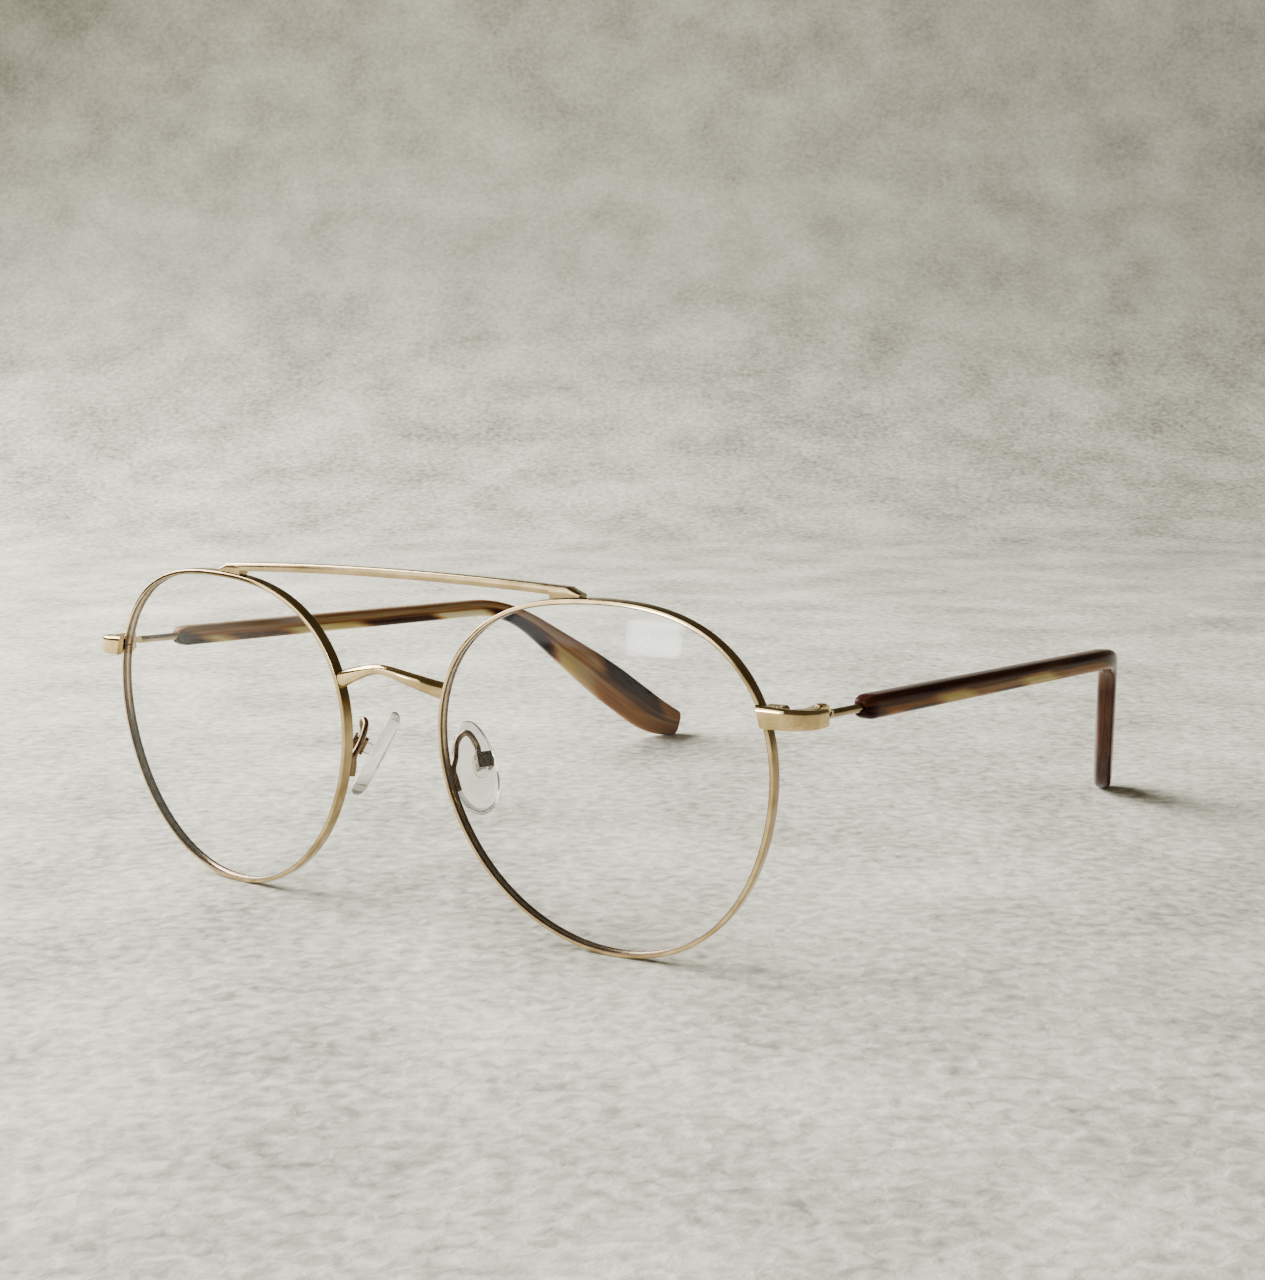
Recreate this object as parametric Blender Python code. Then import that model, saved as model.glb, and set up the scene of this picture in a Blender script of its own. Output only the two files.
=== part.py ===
"""Round metal eyeglasses with a double bridge and tortoise-shell temples, open on a table.

The wearer's left side is +X, the front of the lenses faces -Y and the temples run back along +Y.
Every side piece is drawn once for +X and mirrored for -X.  Design lengths are in millimetres.
"""
import math

import bmesh
import bpy
import numpy as np

MM = 0.001
SIDES = (("left", 1), ("right", -1))

# Where the lens plane stands, so that the open glasses are centred front to back
FRONT_Y = -70.53
# Gap between soldered or seated pieces, and radial play of a pin in its bore
SEAT = 0.04
PLAY = 0.04
# Bevel on a screw's head and the reach of the tools that bore holes
SCREW_BEVEL = 0.12
BORE_REACH = 3.0

# Lens outline: a mean radius and small waves over the angle from the temple side
LENS_RADIUS = 25.555
LENS_WIDER = 0.75
LENS_LEAN = -0.17
LENS_TEMPLE_PULL = -0.28
LENS_BROW = 0.83
LENS_SQUARE = -0.30
LENS_CENTRE_X = 35.53
LENS_WRAP = math.radians(4.35)
LENS_TILT = math.radians(4.19)
LENS_CURVE = 128.0
LENS_THICKNESS = 1.5

# Rim wire: radial width, depth, edge chamfer and the groove that holds the lens
RIM_WIDTH = 0.7
RIM_DEPTH = 1.66
RIM_CHAMFER = 0.12
GROOVE_DEPTH = 0.3
GROOVE_HALF = 0.4
RIM_STEPS = 72
# The rim is sawn through here, where the closing screw draws it together
CUT_ANGLE = math.radians(22.6)
CUT_GAP = 0.24

# Lower bridge: a saddle with a round section that swells where it meets the rims
BRIDGE_Z = 37.5
BRIDGE_Y = -4.7
BRIDGE_SLOPE = 0.335
BRIDGE_CROWN = 2.4
BRIDGE_BOW = 0.024
BRIDGE_HALF_HEIGHT = 0.72
BRIDGE_HALF_DEPTH = 0.72
BRIDGE_FLARE = 1.05
BRIDGE_ANGLE = math.radians(158.3)
BRIDGE_STEPS = 23
BRIDGE_ROUND = 2.2
# Clearance that the last rings before the soldered end keep from the rim
BRIDGE_CLEARANCE = (0.0, 0.25, 0.5, 0.75)

# Top bar: a flat bar over both rims, mitred at its ends and standing on low feet
BAR_TOP = 51.9
BAR_DROP = 0.00087
BAR_Y = -3.45
BAR_BOW = 0.0012
BAR_HEIGHT = 1.3
BAR_DEPTH = 1.8
BAR_CHAMFER = 0.26
BAR_MITRE_FROM = 32.1
BAR_END = 34.0
BAR_FOOT_FROM = 29.3
BAR_FOOT_STEP = 0.02
BAR_END_RISE = 0.45

# End piece: a plate on the rim's front that turns the corner and runs back to the hinge
PLATE_FRONT = (59.85, -0.74)
PLATE_TURN = (63.2, -0.41)
PLATE_OUTER_X = 67.4
PLATE_BACK_Y = 5.1
PLATE_THICKNESS = 1.0
PLATE_BOTTOM = 34.35
PLATE_TOP = 37.35
PLATE_BACK_TOP = 36.75
PLATE_RAKE = 0.75
PLATE_CHAMFER = 0.22

# Closing block: two halves soldered to the rim's sawn ends
BLOCK_REACH = 2.5
BLOCK_UPPER_HEIGHT = 0.8
BLOCK_LOWER_HEIGHT = 1.5
BLOCK_INNER_SHARES = (0.25, 0.65, 1.05)
BLOCK_BACK = -1.9
BLOCK_FRONT = 0.6
BLOCK_BORE = 0.46
BLOCK_BORE_REACH = 1.5
BLOCK_CORNER = 0.35
CLOSING_HEAD_RADIUS = 0.64
CLOSING_HEAD_HEIGHT = 0.36

# Hinge with three knuckles: two on the end piece, one on the temple
HINGE_X = 65.55
HINGE_Y = 6.3
HINGE_Z = 35.55
KNUCKLE_RADIUS = 1.1
KNUCKLE_BORE = 0.6
KNUCKLE_HEIGHT = 0.85
KNUCKLE_FROM = math.radians(35.0)
KNUCKLE_TO = math.radians(215.0)
KNUCKLE_SLOT_PLAY = 0.16
# The leaf fills the end piece's corner from this point of its plan; its inner corners are given
LEAF_FIRST = 3
LEAF_INNER = ((64.95, 3.4), (63.9, 2.0))
LEAF_PAST_PLATE = 0.6
HINGE_HEAD_RADIUS = 0.8
HINGE_HEAD_HEIGHT = 0.2
TANG_HALF = 0.62
TANG_LENGTH = 2.2

# Temple centre line, by distance from the hinge axis
TEMPLE_HEADING = math.radians(0.8)
TEMPLE_SLOPE = math.radians(-2.4)
EAR_TURN = math.radians(-22.5)
EAR_TURN_FROM = 86.9
EAR_TURN_TO = 103.9
EAR_DROP_GUESS = math.radians(-35.5)
EAR_DROP_FROM = 88.9
EAR_DROP_TO = 110.9
TIP_RISE = math.radians(20.0)
TIP_RISE_FROM = 138.9
TEMPLE_END = 151.4
CORE_RADIUS = 0.6
CORE_END = 133.9
CORE_PLAY = 0.05
CORE_END_PLAY = 0.3
SLEEVE_FRONT = 10.3
# Rings of the sleeve's bevelled nose and tail: distance from the end and inset
SLEEVE_NOSE = ((0.0, 0.8), (0.3, 0.5), (1.1, 0.16))
SLEEVE_NOSE_LENGTH = 2.1
SLEEVE_TAIL = ((0.25, 0.15), (0.0, 0.5))
SLEEVE_TAIL_LENGTH = 0.7
SLEEVE_HALF_HEIGHT = 1.7
SLEEVE_HALF_THICK = 1.6
TIP_HALF_HEIGHT = 4.2
TIP_HALF_THICK = 1.72
TIP_SWELL_FROM = 96.9
TIP_SWELL_TO = 133.9
TIP_TAPER_FROM = 139.9
TIP_END_HALF = 2.55
SLEEVE_ROUND = 2.9
SLEEVE_SIDES = 16

# Nose pad: centre, length direction from top to bottom and width direction
PAD_CENTRE = (9.4, 4.6, 22.7)
PAD_LENGTH_AXIS = (5.56, -3.37, -12.2)
PAD_SPLAY = math.radians(38.0)
PAD_HALF_LENGTH = 7.1
PAD_HALF_WIDTH = 3.35
PAD_HALF_THICK = 1.1
PAD_BROADER = 0.14
# Rings of the pad from its outer side to the nose: share of the outline and level
PAD_PROFILE = ((0.86, 1.0), (0.96, 0.84), (1.0, 0.38), (0.985, -0.14), (0.92, -0.58), (0.76, -0.88),
               (0.48, -1.0))
PAD_SIDES = 20
PAD_PIVOT = 2.9
PAD_MOUNT_SHIFT = 0.8
PAD_BOX_HALF_LENGTH = 1.15
PAD_BOX_HALF_WIDTH = 1.12
PAD_CHEEK = 0.5
PAD_BOX_MOUTH = 0.85
PAD_BOX_FLOOR = 0.12
PAD_BOX_BACK = 0.45
PAD_LUG_HALF = 0.78
PAD_LUG_ROOT = 0.2
PAD_SCREW_RADIUS = 0.38
PAD_HEAD_RADIUS = 0.66
PAD_HEAD_HEIGHT = 0.38
PAD_PLATE_HALF_LENGTH = 1.9
PAD_PLATE_HALF_WIDTH = 1.2
PAD_PLATE_THICK = 0.45
PAD_ARM_RADIUS = 0.45
PAD_ARM_LEAD = 1.0
PAD_ARM_STEPS = 3
PAD_ARM_END = 0.5
PAD_ARM_SIDE = -0.65
# The arm's foot lies along the rim's back at these angles; the loop's knots follow
PAD_FOOT_ANGLES = (192.5, 189.0, 185.5)
PAD_FOOT_RADIUS = 0.55
PAD_FOOT_OUT = 0.1
PAD_ARM_LOOP = ((9.2, 0.65, 24.9), (8.85, 1.3, 26.6), (9.1, 1.95, 27.75), (9.85, 2.4, 28.25),
                (10.55, 2.7, 27.75))


def unit(vector):
    """The vector scaled to length one."""
    vector = np.asarray(vector, dtype=float)
    return vector / np.linalg.norm(vector)


def smooth_step(value, start, stop):
    """Ease from zero at start to one at stop."""
    t = np.clip((np.asarray(value, dtype=float) - start) / (stop - start), 0.0, 1.0)
    return t * t * (3.0 - 2.0 * t)


# Lens surface

def rim_radius(angle):
    """Radius of the rim's mid-line at an angle from the temple side."""
    return (LENS_RADIUS + LENS_WIDER * np.cos(2 * angle) + LENS_LEAN * np.sin(2 * angle)
            + LENS_TEMPLE_PULL * np.cos(3 * angle) + LENS_BROW * np.sin(3 * angle)
            + LENS_SQUARE * np.cos(4 * angle))


LENS_OUT = np.array([math.cos(LENS_WRAP), math.sin(LENS_WRAP), 0.0])
LENS_UP = np.array([math.sin(LENS_WRAP) * math.sin(LENS_TILT),
                    -math.cos(LENS_WRAP) * math.sin(LENS_TILT),
                    math.cos(LENS_TILT)])
LENS_FORWARD = np.cross(LENS_OUT, LENS_UP)


def on_lens(across, up, depth, centre_z):
    """Point on the domed lens surface, moved forward by depth."""
    across, up, depth = np.broadcast_arrays(across, up, depth)
    sag = (across ** 2 + up ** 2 - LENS_RADIUS ** 2) / (2.0 * LENS_CURVE)
    centre = np.array([LENS_CENTRE_X, 0.0, centre_z])
    return (centre + across[..., None] * LENS_OUT + up[..., None] * LENS_UP
            + (depth - sag)[..., None] * LENS_FORWARD)


def standing_height():
    """Height of the lens centre that puts the rim's lowest edge on the floor."""
    angle = np.linspace(0.0, 2.0 * math.pi, 721)
    radius = rim_radius(angle) + 0.5 * RIM_WIDTH
    lowest = min(on_lens(radius * np.cos(angle), radius * np.sin(angle), depth, 0.0)[:, 2].min()
                 for depth in (-0.5 * RIM_DEPTH, 0.5 * RIM_DEPTH))
    return -lowest


LENS_CENTRE_Z = standing_height()
LENS_PLACE = np.array([LENS_CENTRE_X, 0.0, LENS_CENTRE_Z])


def rim_point(angle, outward, depth):
    """Point beside the rim's mid-line: outward along the radius, depth towards the front."""
    radius = rim_radius(angle) + outward
    return on_lens(radius * np.cos(angle), radius * np.sin(angle), depth, LENS_CENTRE_Z)


# Temple centre line

def temple_line(distance, drop=None):
    """Points and frames of the temple's centre line at distances from the hinge axis."""
    step = np.linspace(0.0, TEMPLE_END, 1506)
    heading = TEMPLE_HEADING + EAR_TURN * smooth_step(step, EAR_TURN_FROM, EAR_TURN_TO)
    drop = EAR_DROP if drop is None else drop
    pitch = (TEMPLE_SLOPE + drop * smooth_step(step, EAR_DROP_FROM, EAR_DROP_TO)
             + TIP_RISE * smooth_step(step, TIP_RISE_FROM, TEMPLE_END))
    level = np.cos(pitch)
    along = np.stack([np.sin(heading) * level, np.cos(heading) * level, np.sin(pitch)], -1)
    middle = 0.5 * (along[1:] + along[:-1]) * (step[1] - step[0])
    points = np.vstack([np.zeros(3), np.cumsum(middle, axis=0)]) + (HINGE_X, HINGE_Y, HINGE_Z)
    place = np.stack([np.interp(distance, step, points[:, axis]) for axis in range(3)], -1)
    tangent = np.stack([np.interp(distance, step, along[:, axis]) for axis in range(3)], -1)
    tangent /= np.linalg.norm(tangent, axis=-1, keepdims=True)
    side = np.cross(tangent, (0.0, 0.0, 1.0))
    side /= np.linalg.norm(side, axis=-1, keepdims=True)
    return place, side, np.cross(side, tangent)


def sleeve_half_height(distance):
    """Half height of the temple's section: a rod that swells to a paddle and narrows at its end."""
    swell = smooth_step(distance, TIP_SWELL_FROM, TIP_SWELL_TO)
    taper = np.clip((distance - TIP_TAPER_FROM) / (TEMPLE_END - TIP_TAPER_FROM), 0.0, 1.0) ** 2
    paddle = SLEEVE_HALF_HEIGHT + (TIP_HALF_HEIGHT - SLEEVE_HALF_HEIGHT) * swell
    return paddle - (TIP_HALF_HEIGHT - TIP_END_HALF) * taper


def sleeve_half_thick(distance):
    """Half thickness of the temple's section."""
    swell = smooth_step(distance, TIP_SWELL_FROM, TIP_SWELL_TO)
    return SLEEVE_HALF_THICK + (TIP_HALF_THICK - SLEEVE_HALF_THICK) * swell


def rounded_ring(sides, power):
    """Unit ring between an ellipse and a rectangle, as cosine and sine raised to two over power."""
    angle = np.arange(sides) * 2.0 * math.pi / sides
    ring = np.stack([np.cos(angle), np.sin(angle)])
    return np.sign(ring) * np.abs(ring) ** (2.0 / power)


def section_rings(distance, half_thick, half_height, power, sides):
    """Sections across the temple's centre line."""
    place, side, up = temple_line(distance)
    across, tall = rounded_ring(sides, power)
    sideways = np.reshape(half_thick, (-1, 1, 1)) * across[None, :, None]
    upwards = np.reshape(half_height, (-1, 1, 1)) * tall[None, :, None]
    return place[:, None, :] + sideways * side[:, None, :] + upwards * up[:, None, :]


def standing_drop():
    """Downward bend behind the ear that brings the paddle's lower edge to the floor."""
    distance = np.linspace(TIP_SWELL_TO, TEMPLE_END, 200)
    drop = EAR_DROP_GUESS
    for _ in range(12):
        place, _, up = temple_line(distance, drop)
        lowest = np.min(place[:, 2] - up[:, 2] * sleeve_half_height(distance))
        drop -= lowest / (TEMPLE_END - EAR_DROP_FROM)
    return drop


EAR_DROP = standing_drop()


# Mesh helpers

def loft(rings):
    """Skin a row of equal rings and close both ends."""
    rings = np.asarray(rings)
    count, size = rings.shape[:2]
    faces = []
    for i in range(count - 1):
        for k in range(size):
            m = (k + 1) % size
            faces.append((i * size + k, i * size + m, (i + 1) * size + m, (i + 1) * size + k))
    faces.append(tuple(range(size)))
    faces.append(tuple(range((count - 1) * size, count * size)))
    return rings.reshape(-1, 3), faces


def prism(outline, origin, first, second, direction, start, stop):
    """Extrude an outline drawn on two axes from start to stop along a third."""
    outline = np.asarray(outline, dtype=float)
    flat = np.asarray(origin) + outline[:, :1] * np.asarray(first) + outline[:, 1:] * np.asarray(second)
    return loft([flat + start * np.asarray(direction), flat + stop * np.asarray(direction)])


def circle(radius, sides=16):
    """Outline of a round bar."""
    angle = np.arange(sides) * 2.0 * math.pi / sides
    return np.stack([radius * np.cos(angle), radius * np.sin(angle)], -1)


def tube(path, radii, sides=8):
    """Round wire along a path with a radius at each point, its rings carried without twist."""
    path = np.asarray(path, dtype=float)
    tangent = np.gradient(path, axis=0)
    tangent /= np.linalg.norm(tangent, axis=1, keepdims=True)
    normal = unit(np.cross(tangent[0], (0.31, 0.17, 0.93)))
    rings = []
    for point, along, radius in zip(path, tangent, radii):
        normal = unit(normal - along * np.dot(normal, along))
        ring = circle(radius, sides)
        rings.append(point + ring[:, :1] * normal + ring[:, 1:] * np.cross(along, normal))
    return loft(rings)


def spline(knots, steps):
    """Smooth curve through knots, with the tangent at a knot along its neighbours."""
    knots = np.asarray(knots, dtype=float)
    slope = np.gradient(knots, axis=0)
    t = np.linspace(0.0, 1.0, steps, endpoint=False)[:, None]
    pieces = []
    for a, b, m, n in zip(knots[:-1], knots[1:], slope[:-1], slope[1:]):
        pieces.append((2 * t ** 3 - 3 * t ** 2 + 1) * a + (t ** 3 - 2 * t ** 2 + t) * m
                      + (3 * t ** 2 - 2 * t ** 3) * b + (t ** 3 - t ** 2) * n)
    return np.vstack(pieces + [knots[-1:]])


# Scene helpers

def clear_scene():
    for item in list(bpy.data.objects):
        bpy.data.objects.remove(item, do_unlink=True)


def material(name, colour, roughness, metallic, alpha=1.0):
    """Principled surface with the piece's own colour."""
    finish = bpy.data.materials.new(name)
    finish.use_nodes = True
    shader = finish.node_tree.nodes["Principled BSDF"]
    shader.inputs["Base Color"].default_value = (*colour, 1.0)
    shader.inputs["Roughness"].default_value = roughness
    shader.inputs["Metallic"].default_value = metallic
    shader.inputs["Alpha"].default_value = alpha
    return finish


def add_empty(name, place, parent=None):
    """Empty on a joint axis; its place is in the design frame."""
    empty = bpy.data.objects.new(name, None)
    empty["design_place"] = [float(value) for value in place]
    base = np.array(parent["design_place"]) if parent else np.zeros(3)
    empty.location = (np.asarray(place) - base) * MM
    empty.parent = parent
    bpy.context.collection.objects.link(empty)
    return empty


def add_solid(name, shape, finish, parent, sign=1):
    """Closed mesh object hung on its parent; sign -1 mirrors it to the wearer's right."""
    verts = (np.asarray(shape[0]) * (sign, 1.0, 1.0) - np.array(parent["design_place"])) * MM
    mesh = bpy.data.meshes.new(name)
    mesh.from_pydata(verts.tolist(), [], shape[1])
    work = bmesh.new()
    work.from_mesh(mesh)
    bmesh.ops.recalc_face_normals(work, faces=work.faces)
    work.to_mesh(mesh)
    work.free()
    mesh.shade_smooth()
    mesh.set_sharp_from_angle(angle=math.radians(35.0))
    solid = bpy.data.objects.new(name, mesh)
    solid.parent = parent
    if finish:
        mesh.materials.append(finish)
    bpy.context.collection.objects.link(solid)
    return solid


def cut(solid, name, shape, parent, sign=1):
    """Take a hidden cutter's shape out of a solid."""
    cutter = add_solid(name, shape, None, parent, sign)
    cutter.hide_render = True
    cutter.display_type = "WIRE"
    hole = solid.modifiers.new(name, "BOOLEAN")
    hole.operation = "DIFFERENCE"
    hole.object = cutter


# Front: rims and lenses

def rim_shape():
    """Grooved wire carried round the lens from one side of the saw cut to the other."""
    half = 0.5 * RIM_WIDTH
    front = 0.5 * RIM_DEPTH
    c = RIM_CHAMFER
    profile = np.array([
        (half - c, front), (half, front - c), (half, c - front), (half - c, -front),
        (c - half, -front), (-half, c - front), (-half, -GROOVE_HALF),
        (GROOVE_DEPTH - half, 0.0), (-half, GROOVE_HALF), (-half, front - c), (c - half, front)])
    half_cut = 0.5 * CUT_GAP / LENS_RADIUS
    angle = np.linspace(CUT_ANGLE + half_cut, CUT_ANGLE + 2.0 * math.pi - half_cut, RIM_STEPS + 1)
    return loft(rim_point(angle[:, None], profile[None, :, 0], profile[None, :, 1]))


def lens_shape():
    """Domed lens whose edge is bevelled to a ridge that sits in the rim's groove."""
    half_cut = 0.5 * CUT_GAP / LENS_RADIUS
    angle = np.linspace(CUT_ANGLE + half_cut, CUT_ANGLE + 2.0 * math.pi - half_cut, RIM_STEPS + 1)[:-1]
    half = 0.5 * LENS_THICKNESS
    edge = rim_radius(angle) - 0.5 * RIM_WIDTH - SEAT
    ridge = edge + GROOVE_DEPTH - SEAT
    shoulder = GROOVE_HALF - 3.0 * SEAT
    front = [(share * edge, half) for share in (0.34, 0.68, 1.0)]
    bevel = [(edge, shoulder), (ridge, 0.0), (edge, -shoulder)]
    back = [(share * edge, -half) for share in (1.0, 0.68, 0.34)]
    rings = []
    for radius, depth in front + bevel + back:
        rings.append(on_lens(radius * np.cos(angle), radius * np.sin(angle), depth, LENS_CENTRE_Z))
    return loft(rings)


# Front: bridge and top bar

def bridge_shape():
    """Saddle wire: a rounded inverted V whose ends swell and are cut to the rims' curve."""
    end = rim_point(BRIDGE_ANGLE, 0.5 * RIM_WIDTH + SEAT, 0.0)
    x = end[0] * np.sin(np.linspace(-0.5 * math.pi, 0.5 * math.pi, BRIDGE_STEPS))
    rise = BRIDGE_SLOPE * (np.sqrt(x ** 2 + BRIDGE_CROWN ** 2) - BRIDGE_CROWN)
    path = np.stack([x, BRIDGE_Y + BRIDGE_BOW * x ** 2, BRIDGE_Z - rise], -1)
    tangent = np.gradient(path, axis=0)
    tangent /= np.linalg.norm(tangent, axis=1, keepdims=True)
    up = np.cross(tangent, (0.0, 1.0, 0.0))
    forward = np.cross(up, tangent)
    flare = 1.0 + BRIDGE_FLARE * rise / rise.max()
    across, tall = rounded_ring(12, BRIDGE_ROUND)
    rings = (path[:, None, :] + forward[:, None, :] * (across * BRIDGE_HALF_DEPTH)[None, :, None]
             + up[:, None, :] * tall[None, :, None] * (BRIDGE_HALF_HEIGHT * flare)[:, None, None])
    mirror = np.array([-1.0, 1.0, 1.0])
    for place, clearance in enumerate(BRIDGE_CLEARANCE):
        seated = place == 0
        rings[-1 - place] = trim_to_rim(rings[-1 - place], clearance, seated)
        rings[place] = trim_to_rim(rings[place] * mirror, clearance, seated) * mirror
    return loft(rings)


def trim_to_rim(points, clearance, seated):
    """Slide points along X to just off the rim's outer face; only seated ones are drawn up to it."""
    place = np.array(points, dtype=float)
    for _ in range(6):
        local = place - (LENS_CENTRE_X, 0.0, LENS_CENTRE_Z)
        across = local @ LENS_OUT
        up = local @ LENS_UP
        wanted = rim_radius(np.arctan2(up, across)) + 0.5 * RIM_WIDTH + SEAT
        place[:, 0] += -np.sqrt(np.maximum(wanted ** 2 - up ** 2, 0.0)) - across
    place[:, 0] -= clearance
    if not seated:
        place[:, 0] = np.minimum(place[:, 0], points[:, 0])
    return place


def bar_shape():
    """Flat brow bar with chamfered edges; each end stands on a foot on the rim and is mitred."""
    half_x = np.concatenate([np.linspace(0.0, BAR_FOOT_FROM - BAR_FOOT_STEP, 5),
                             np.linspace(BAR_FOOT_FROM, BAR_MITRE_FROM, 4),
                             np.linspace(BAR_MITRE_FROM, BAR_END, 3)[1:]])
    stations = np.concatenate([-half_x[:0:-1], half_x])
    rings = []
    for x in stations:
        reach = abs(x)
        top = BAR_TOP - BAR_DROP * reach ** 2
        y = BAR_Y + BAR_BOW * reach ** 2
        bottom = top - BAR_HEIGHT
        if reach >= BAR_FOOT_FROM:
            bottom = rim_top(reach) + SEAT
        mitre = np.clip((reach - BAR_MITRE_FROM) / (BAR_END - BAR_MITRE_FROM), 0.0, 1.0)
        top += mitre * (rim_top(BAR_END) + BAR_END_RISE - top)
        c = min(BAR_CHAMFER, 0.3 * (top - bottom))
        half = 0.5 * BAR_DEPTH
        rings.append([(x, y - half, bottom + c), (x, y - half + c, bottom), (x, y + half - c, bottom),
                      (x, y + half, bottom + c), (x, y + half, top - c), (x, y + half - c, top),
                      (x, y - half + c, top), (x, y - half, top - c)])
    return loft(rings)


def rim_top(x):
    """Height of the rim's outer face at a place across the brow."""
    angle = np.linspace(0.3 * math.pi, 0.75 * math.pi, 241)
    edge = np.maximum(rim_point(angle, 0.5 * RIM_WIDTH, 0.5 * RIM_DEPTH)[:, 2],
                      rim_point(angle, 0.5 * RIM_WIDTH, -0.5 * RIM_DEPTH)[:, 2])
    place = rim_point(angle, 0.5 * RIM_WIDTH, 0.0)[:, 0]
    return float(np.interp(-x, -place, edge))


# Front: end pieces, closing blocks and hinges

def plate_path():
    """Plan of the end piece's outer face: along the front, round the corner and back to the hinge."""
    front = np.array(PLATE_FRONT)
    turn = np.array(PLATE_TURN)
    along = unit(turn - front)
    corner_radius = (PLATE_OUTER_X - turn[0]) / (1.0 - along[1])
    centre = turn + corner_radius * np.array([-along[1], along[0]])
    sweep = np.linspace(math.atan2(-along[0], along[1]), 0.0, 8)
    arc = centre + corner_radius * np.stack([np.cos(sweep), np.sin(sweep)], -1)
    return np.vstack([front, 0.5 * (front + turn), arc, (PLATE_OUTER_X, PLATE_BACK_Y)])


def plate_plan(depth):
    """Plan of the end piece at a depth behind its outer face."""
    path = plate_path()
    tangent = np.gradient(path, axis=0)
    tangent /= np.linalg.norm(tangent, axis=1, keepdims=True)
    return path + depth * np.stack([-tangent[:, 1], tangent[:, 0]], -1)


def endpiece_shape():
    """Bent plate with chamfered long edges, lower towards the hinge."""
    step = np.linalg.norm(np.diff(plate_path(), axis=0), axis=1)
    length = np.concatenate([[0.0], np.cumsum(step)])
    top = PLATE_TOP + (PLATE_BACK_TOP - PLATE_TOP) * length / length[-1]
    bottom = np.full_like(top, PLATE_BOTTOM)
    c = PLATE_CHAMFER
    inside = PLATE_THICKNESS
    edges = [(0.0, bottom + c), (0.0, top - c), (c, top), (inside - c, top),
             (inside, top - c), (inside, bottom + c), (inside - c, bottom), (c, bottom)]
    rings = np.stack([np.column_stack([plate_plan(depth), height]) for depth, height in edges], axis=1)
    below = (PLATE_TOP - rings[0, :, 2]) / (PLATE_TOP - PLATE_BOTTOM)
    rings[0, :, 0] += PLATE_RAKE * below
    return loft(rings)


def block_edge(angle):
    """Place on the lens plane, across and up, just off the rim's outer face."""
    radius = rim_radius(angle) + 0.5 * RIM_WIDTH + SEAT
    return np.array([radius * math.cos(angle), radius * math.sin(angle)])


def block_shape(rising):
    """Half of the closing block: its inner side follows the rim, its end is rounded off."""
    middle = block_edge(CUT_ANGLE)
    low = middle[1] + 0.5 * CUT_GAP * rising
    height = BLOCK_UPPER_HEIGHT if rising > 0 else BLOCK_LOWER_HEIGHT
    high = low + height * rising
    end = middle[0] + BLOCK_REACH
    inner = [block_edge(CUT_ANGLE + rising * share * height / LENS_RADIUS) for share in BLOCK_INNER_SHARES]
    first = (inner[0][0], low)
    last = (inner[-1][0], high)
    corner = [(end - BLOCK_CORNER, high), (end, high - BLOCK_CORNER * rising)]
    outline = [first, *inner, last, *corner, (end, low)]
    return prism(outline, LENS_PLACE, LENS_OUT, LENS_UP, LENS_FORWARD, BLOCK_BACK, BLOCK_FRONT)


def block_bore_place():
    """Middle of the closing block's bore."""
    across, up = block_edge(CUT_ANGLE)
    depth = 0.5 * (BLOCK_BACK + BLOCK_FRONT)
    return LENS_PLACE + (across + BLOCK_BORE_REACH) * LENS_OUT + up * LENS_UP + depth * LENS_FORWARD


def turned(profile, place, direction, sides=16):
    """Round piece turned about an axis from pairs of distance along it and radius."""
    direction = unit(direction)
    first = unit(np.cross(direction, (0.2, 0.9, 0.1)))
    second = np.cross(direction, first)
    rings = []
    for along, radius in profile:
        ring = circle(radius, sides)
        rings.append(np.asarray(place) + along * direction + ring[:, :1] * first + ring[:, 1:] * second)
    return loft(rings)


def closing_screw_shape():
    """Lens screw: a domed head under the lower half and a shank up through both."""
    top = BLOCK_UPPER_HEIGHT + 0.5 * CUT_GAP
    seat = -BLOCK_LOWER_HEIGHT - 0.5 * CUT_GAP - SEAT
    head = seat - CLOSING_HEAD_HEIGHT
    shank = BLOCK_BORE - PLAY
    profile = [(head, CLOSING_HEAD_RADIUS - 2.0 * SCREW_BEVEL), (head + SCREW_BEVEL, CLOSING_HEAD_RADIUS),
               (seat, CLOSING_HEAD_RADIUS), (seat, shank),
               (top - SCREW_BEVEL, shank), (top, shank - SCREW_BEVEL)]
    return turned(profile, block_bore_place(), LENS_UP)


def closing_bore_shape():
    """Bore of the closing block."""
    return turned([(-BORE_REACH, BLOCK_BORE), (BORE_REACH, BLOCK_BORE)], block_bore_place(), LENS_UP)


def hinge_outline():
    """Plan of the front hinge: a leaf that fills the end piece's corner and runs into the knuckle."""
    sweep = np.linspace(KNUCKLE_FROM, KNUCKLE_TO, 13)
    knuckle = HINGE_PLACE[:2] + KNUCKLE_RADIUS * np.stack([np.cos(sweep), np.sin(sweep)], -1)
    outer = plate_plan(PLATE_THICKNESS + SEAT)[LEAF_FIRST:]
    return np.vstack([knuckle, *LEAF_INNER, outer, outer[-1] + (0.0, LEAF_PAST_PLATE)])


AXES = np.eye(3)
HINGE_PLACE = np.array([HINGE_X, HINGE_Y, HINGE_Z])
HINGE_HALF = 1.5 * KNUCKLE_HEIGHT + SEAT


def front_hinge_shape():
    """Leaf and both front knuckles, before the middle slot and the bore are cut."""
    return prism(hinge_outline(), (0.0, 0.0, HINGE_Z), AXES[0], AXES[1], AXES[2], -HINGE_HALF, HINGE_HALF)


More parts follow.
